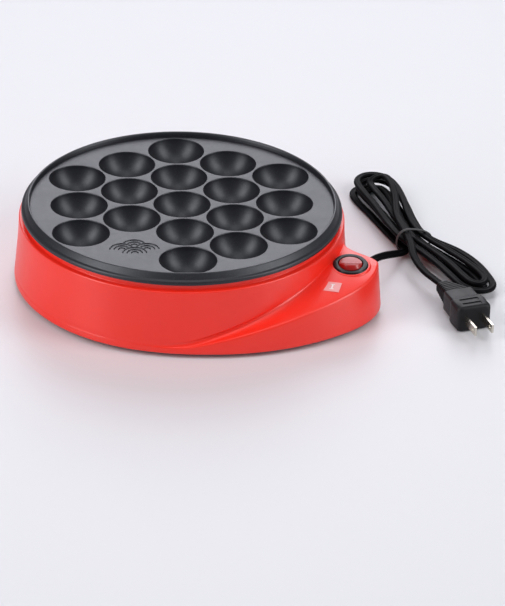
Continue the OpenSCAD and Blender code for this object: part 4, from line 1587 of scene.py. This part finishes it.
    def build(self) -> None:
        """Makes the housing, and the cover and feet beneath it."""
        shell = finished("casing_shell", self.shell_mesh(), 50.0)
        openings = bmesh.new()
        add_cylinder(openings, self.on_pod(), self.switch_hole, -12.0, 12.0)
        add_cylinder(openings, self.at_exit(), self.lead_hole, -12.0, 12.0)
        carve(shell, finished("openings", openings))
        recess = bmesh.new()
        add_cylinder(recess, self.at_exit(), self.sleeve_hole, 1.8, 14.0)
        carve(shell, finished("recess", recess))
        work = bmesh.new()
        work.from_mesh(shell.data)
        bpy.data.objects.remove(shell)
        ring = revolve("switch_ring", self.ring, 96, True)
        ring.transform(self.on_pod())
        work.from_mesh(ring)
        for x, y in ring_places(BOSS_ANGLES, BOSS_RING):
            boss = revolve("boss", self.boss, 24, True)
            boss.transform(Matrix.Translation((mm(x), mm(y), 0.0)))
            work.from_mesh(boss)
        bmesh.ops.recalc_face_normals(work, faces=work.faces)
        bmesh.ops.translate(work, verts=work.verts, vec=self.seat)
        dress(finished("housing", work, 50.0), Finishes.CASING, "casing_red", "casing")
        cover = rounded_copy("underside_cover", "bottom_cover", 0.3)
        dress(cover, Finishes.COVER, "cover_dark", "bottom_cover")
        for corner in ("front_right", "back_right", "back_left", "front_left"):
            foot = rounded_copy("rubber_" + corner, "foot_" + corner, 0.5)
            dress(foot, Finishes.FOOT, "foot_rubber", "foot_" + corner)


def rounded_corner(before: Point, corner: Point, after: Point, reach: float) -> list[Point]:
    """Four points that round a section's corner.

    Args:
        before: the point ahead of the corner.
        corner: the corner.
        after: the point behind it.
        reach: how far along each side the rounding starts.

    Returns:
        The points from the side before to the side after.
    """
    middle = Vector(corner)
    first, second = Vector(before) - middle, Vector(after) - middle
    start = middle + first.normalized() * min(reach, 0.45 * first.length)
    end = middle + second.normalized() * min(reach, 0.45 * second.length)
    curve = []
    for t in (0.0, 0.33, 0.67, 1.0):
        curve.append(tuple((1.0 - t) ** 2 * start + 2.0 * t * (1.0 - t) * middle + t * t * end))
    return curve


def top_face(piece: Piece) -> Matrix:
    """The frame of a flat piece's top: its middle, its longer and shorter sides and its normal."""
    faces = [f for f in piece.data.polygons if f.normal.z > 0.8]
    area = sum(f.area for f in faces)
    normal = sum((f.normal * f.area for f in faces), Vector()).normalized()
    middle = sum((f.center * f.area for f in faces), Vector()) / area
    corners = [piece.data.vertices[i].co for f in faces for i in f.vertices]
    far = max(corners, key=lambda c: c.x)
    left = min(corners, key=lambda c: c.y)
    edge = far - left
    along = (edge - edge.project(normal)).normalized()
    across = normal.cross(along)
    return axes(along, across, normal, middle)


def build_switch() -> None:
    """The bezel, the rocker and the label with its printed bar."""
    housing = rounded_copy("switch_bezel", "switch_housing", 0.3, 3)
    dress(housing, Finishes.SWITCH, "switch_black", "switch_housing")
    rocker = rounded_copy("rocker_cap", "rocker", 0.5, 3)
    dress(rocker, Finishes.ROCKER, "rocker_red", "rocker", body="rocker")
    label = rounded_copy("label", "position_label", 0.0)
    dress(label, Finishes.LABEL, "label_film", "position_label")
    work = bmesh.new()
    for x, width, depth in ((0.0, 5.2, 1.1), (2.4, 0.8, 3.0), (-2.4, 0.8, 3.0)):
        add_block(work, (width, depth, 0.08), (x, 0.0, 0.02))
    bmesh.ops.transform(work, matrix=top_face(label), verts=work.verts)
    dress(finished("label_print", work), Finishes.LABEL_PRINT, "label_film")


WIRES = {
    "live_wire": (Finishes.WIRE_BLACK, "wire_black"),
    "neutral_wire": (Finishes.WIRE_WHITE, "wire_white"),
    "switched_wire": (Finishes.WIRE_RED, "wire_red"),
    "heater_wires": (Finishes.WIRE_WHITE, "wire_white"),
    "cord_inner": (Finishes.CORD, "cord_black"),
}


def build_wires() -> None:
    """The wires inside, as rounder tubes along the same routes."""
    for node, (finish, slot) in WIRES.items():
        wire = rounded_copy(node + "_sleeve", node, 0.0)
        modifier = wire.modifiers.new("round", "SUBSURF")
        modifier.levels = 1
        modifier.render_levels = 1
        bake(wire, 60.0)
        dress(wire, finish, slot, node)


NODE_FINISHES: dict[str, Finishes] = {
    "reflector": Finishes.PAN,
    "element_clips": Finishes.SCREW,
    "heating_element": Finishes.SHEATH,
    "element_bushings": Finishes.CERAMIC,
    "element_tabs": Finishes.BRASS,
    "thermostat": Finishes.THERMOSTAT,
    "thermal_fuse": Finishes.CERAMIC,
    "switch_tabs": Finishes.BRASS,
    "switch_lamp": Finishes.LAMP,
    "rocker_pin": Finishes.SCREW,
    "cord_clamp": Finishes.COVER,
    "plug_blades": Finishes.BLADE,
}


def dress_nodes() -> None:
    """Gives the nodes that stay their finishes."""
    for name, finish in NODE_FINISHES.items():
        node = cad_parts[name]
        if not node.data.materials:
            node.data.materials.append(None)
        for index in range(len(node.data.materials)):
            node.data.materials[index] = finish.material
        log.info("%s: finish %s", name, finish.value.name)


def main() -> None:
    """Builds the pieces in order."""
    logging.basicConfig(level=logging.INFO, format="%(name)s: %(message)s")
    bpy.context.scene.view_settings.view_transform = "Standard"
    Studio().build()
    low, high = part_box("cooking_plate")
    axis = (low + high) / 2.0
    seat = Vector((axis.x, axis.y, 0.0))
    lead = MainsLead(seat)
    on_lead = [lead.build_tie(), *Plug(seat).build(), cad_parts["plug_blades"]]
    lead.build(on_lead)
    sleeve = rounded_copy("exit_sleeve", "cord_relief", 0.3)
    dress(sleeve, Finishes.PLUG, "cord_black", "cord_relief")
    Casing(seat).build()
    CookingPlate(seat).build()
    build_switch()
    build_wires()
    for screws in SCREW_SETS:
        screws.build(seat)
    dress_nodes()


if __name__ == "__main__":
    main()
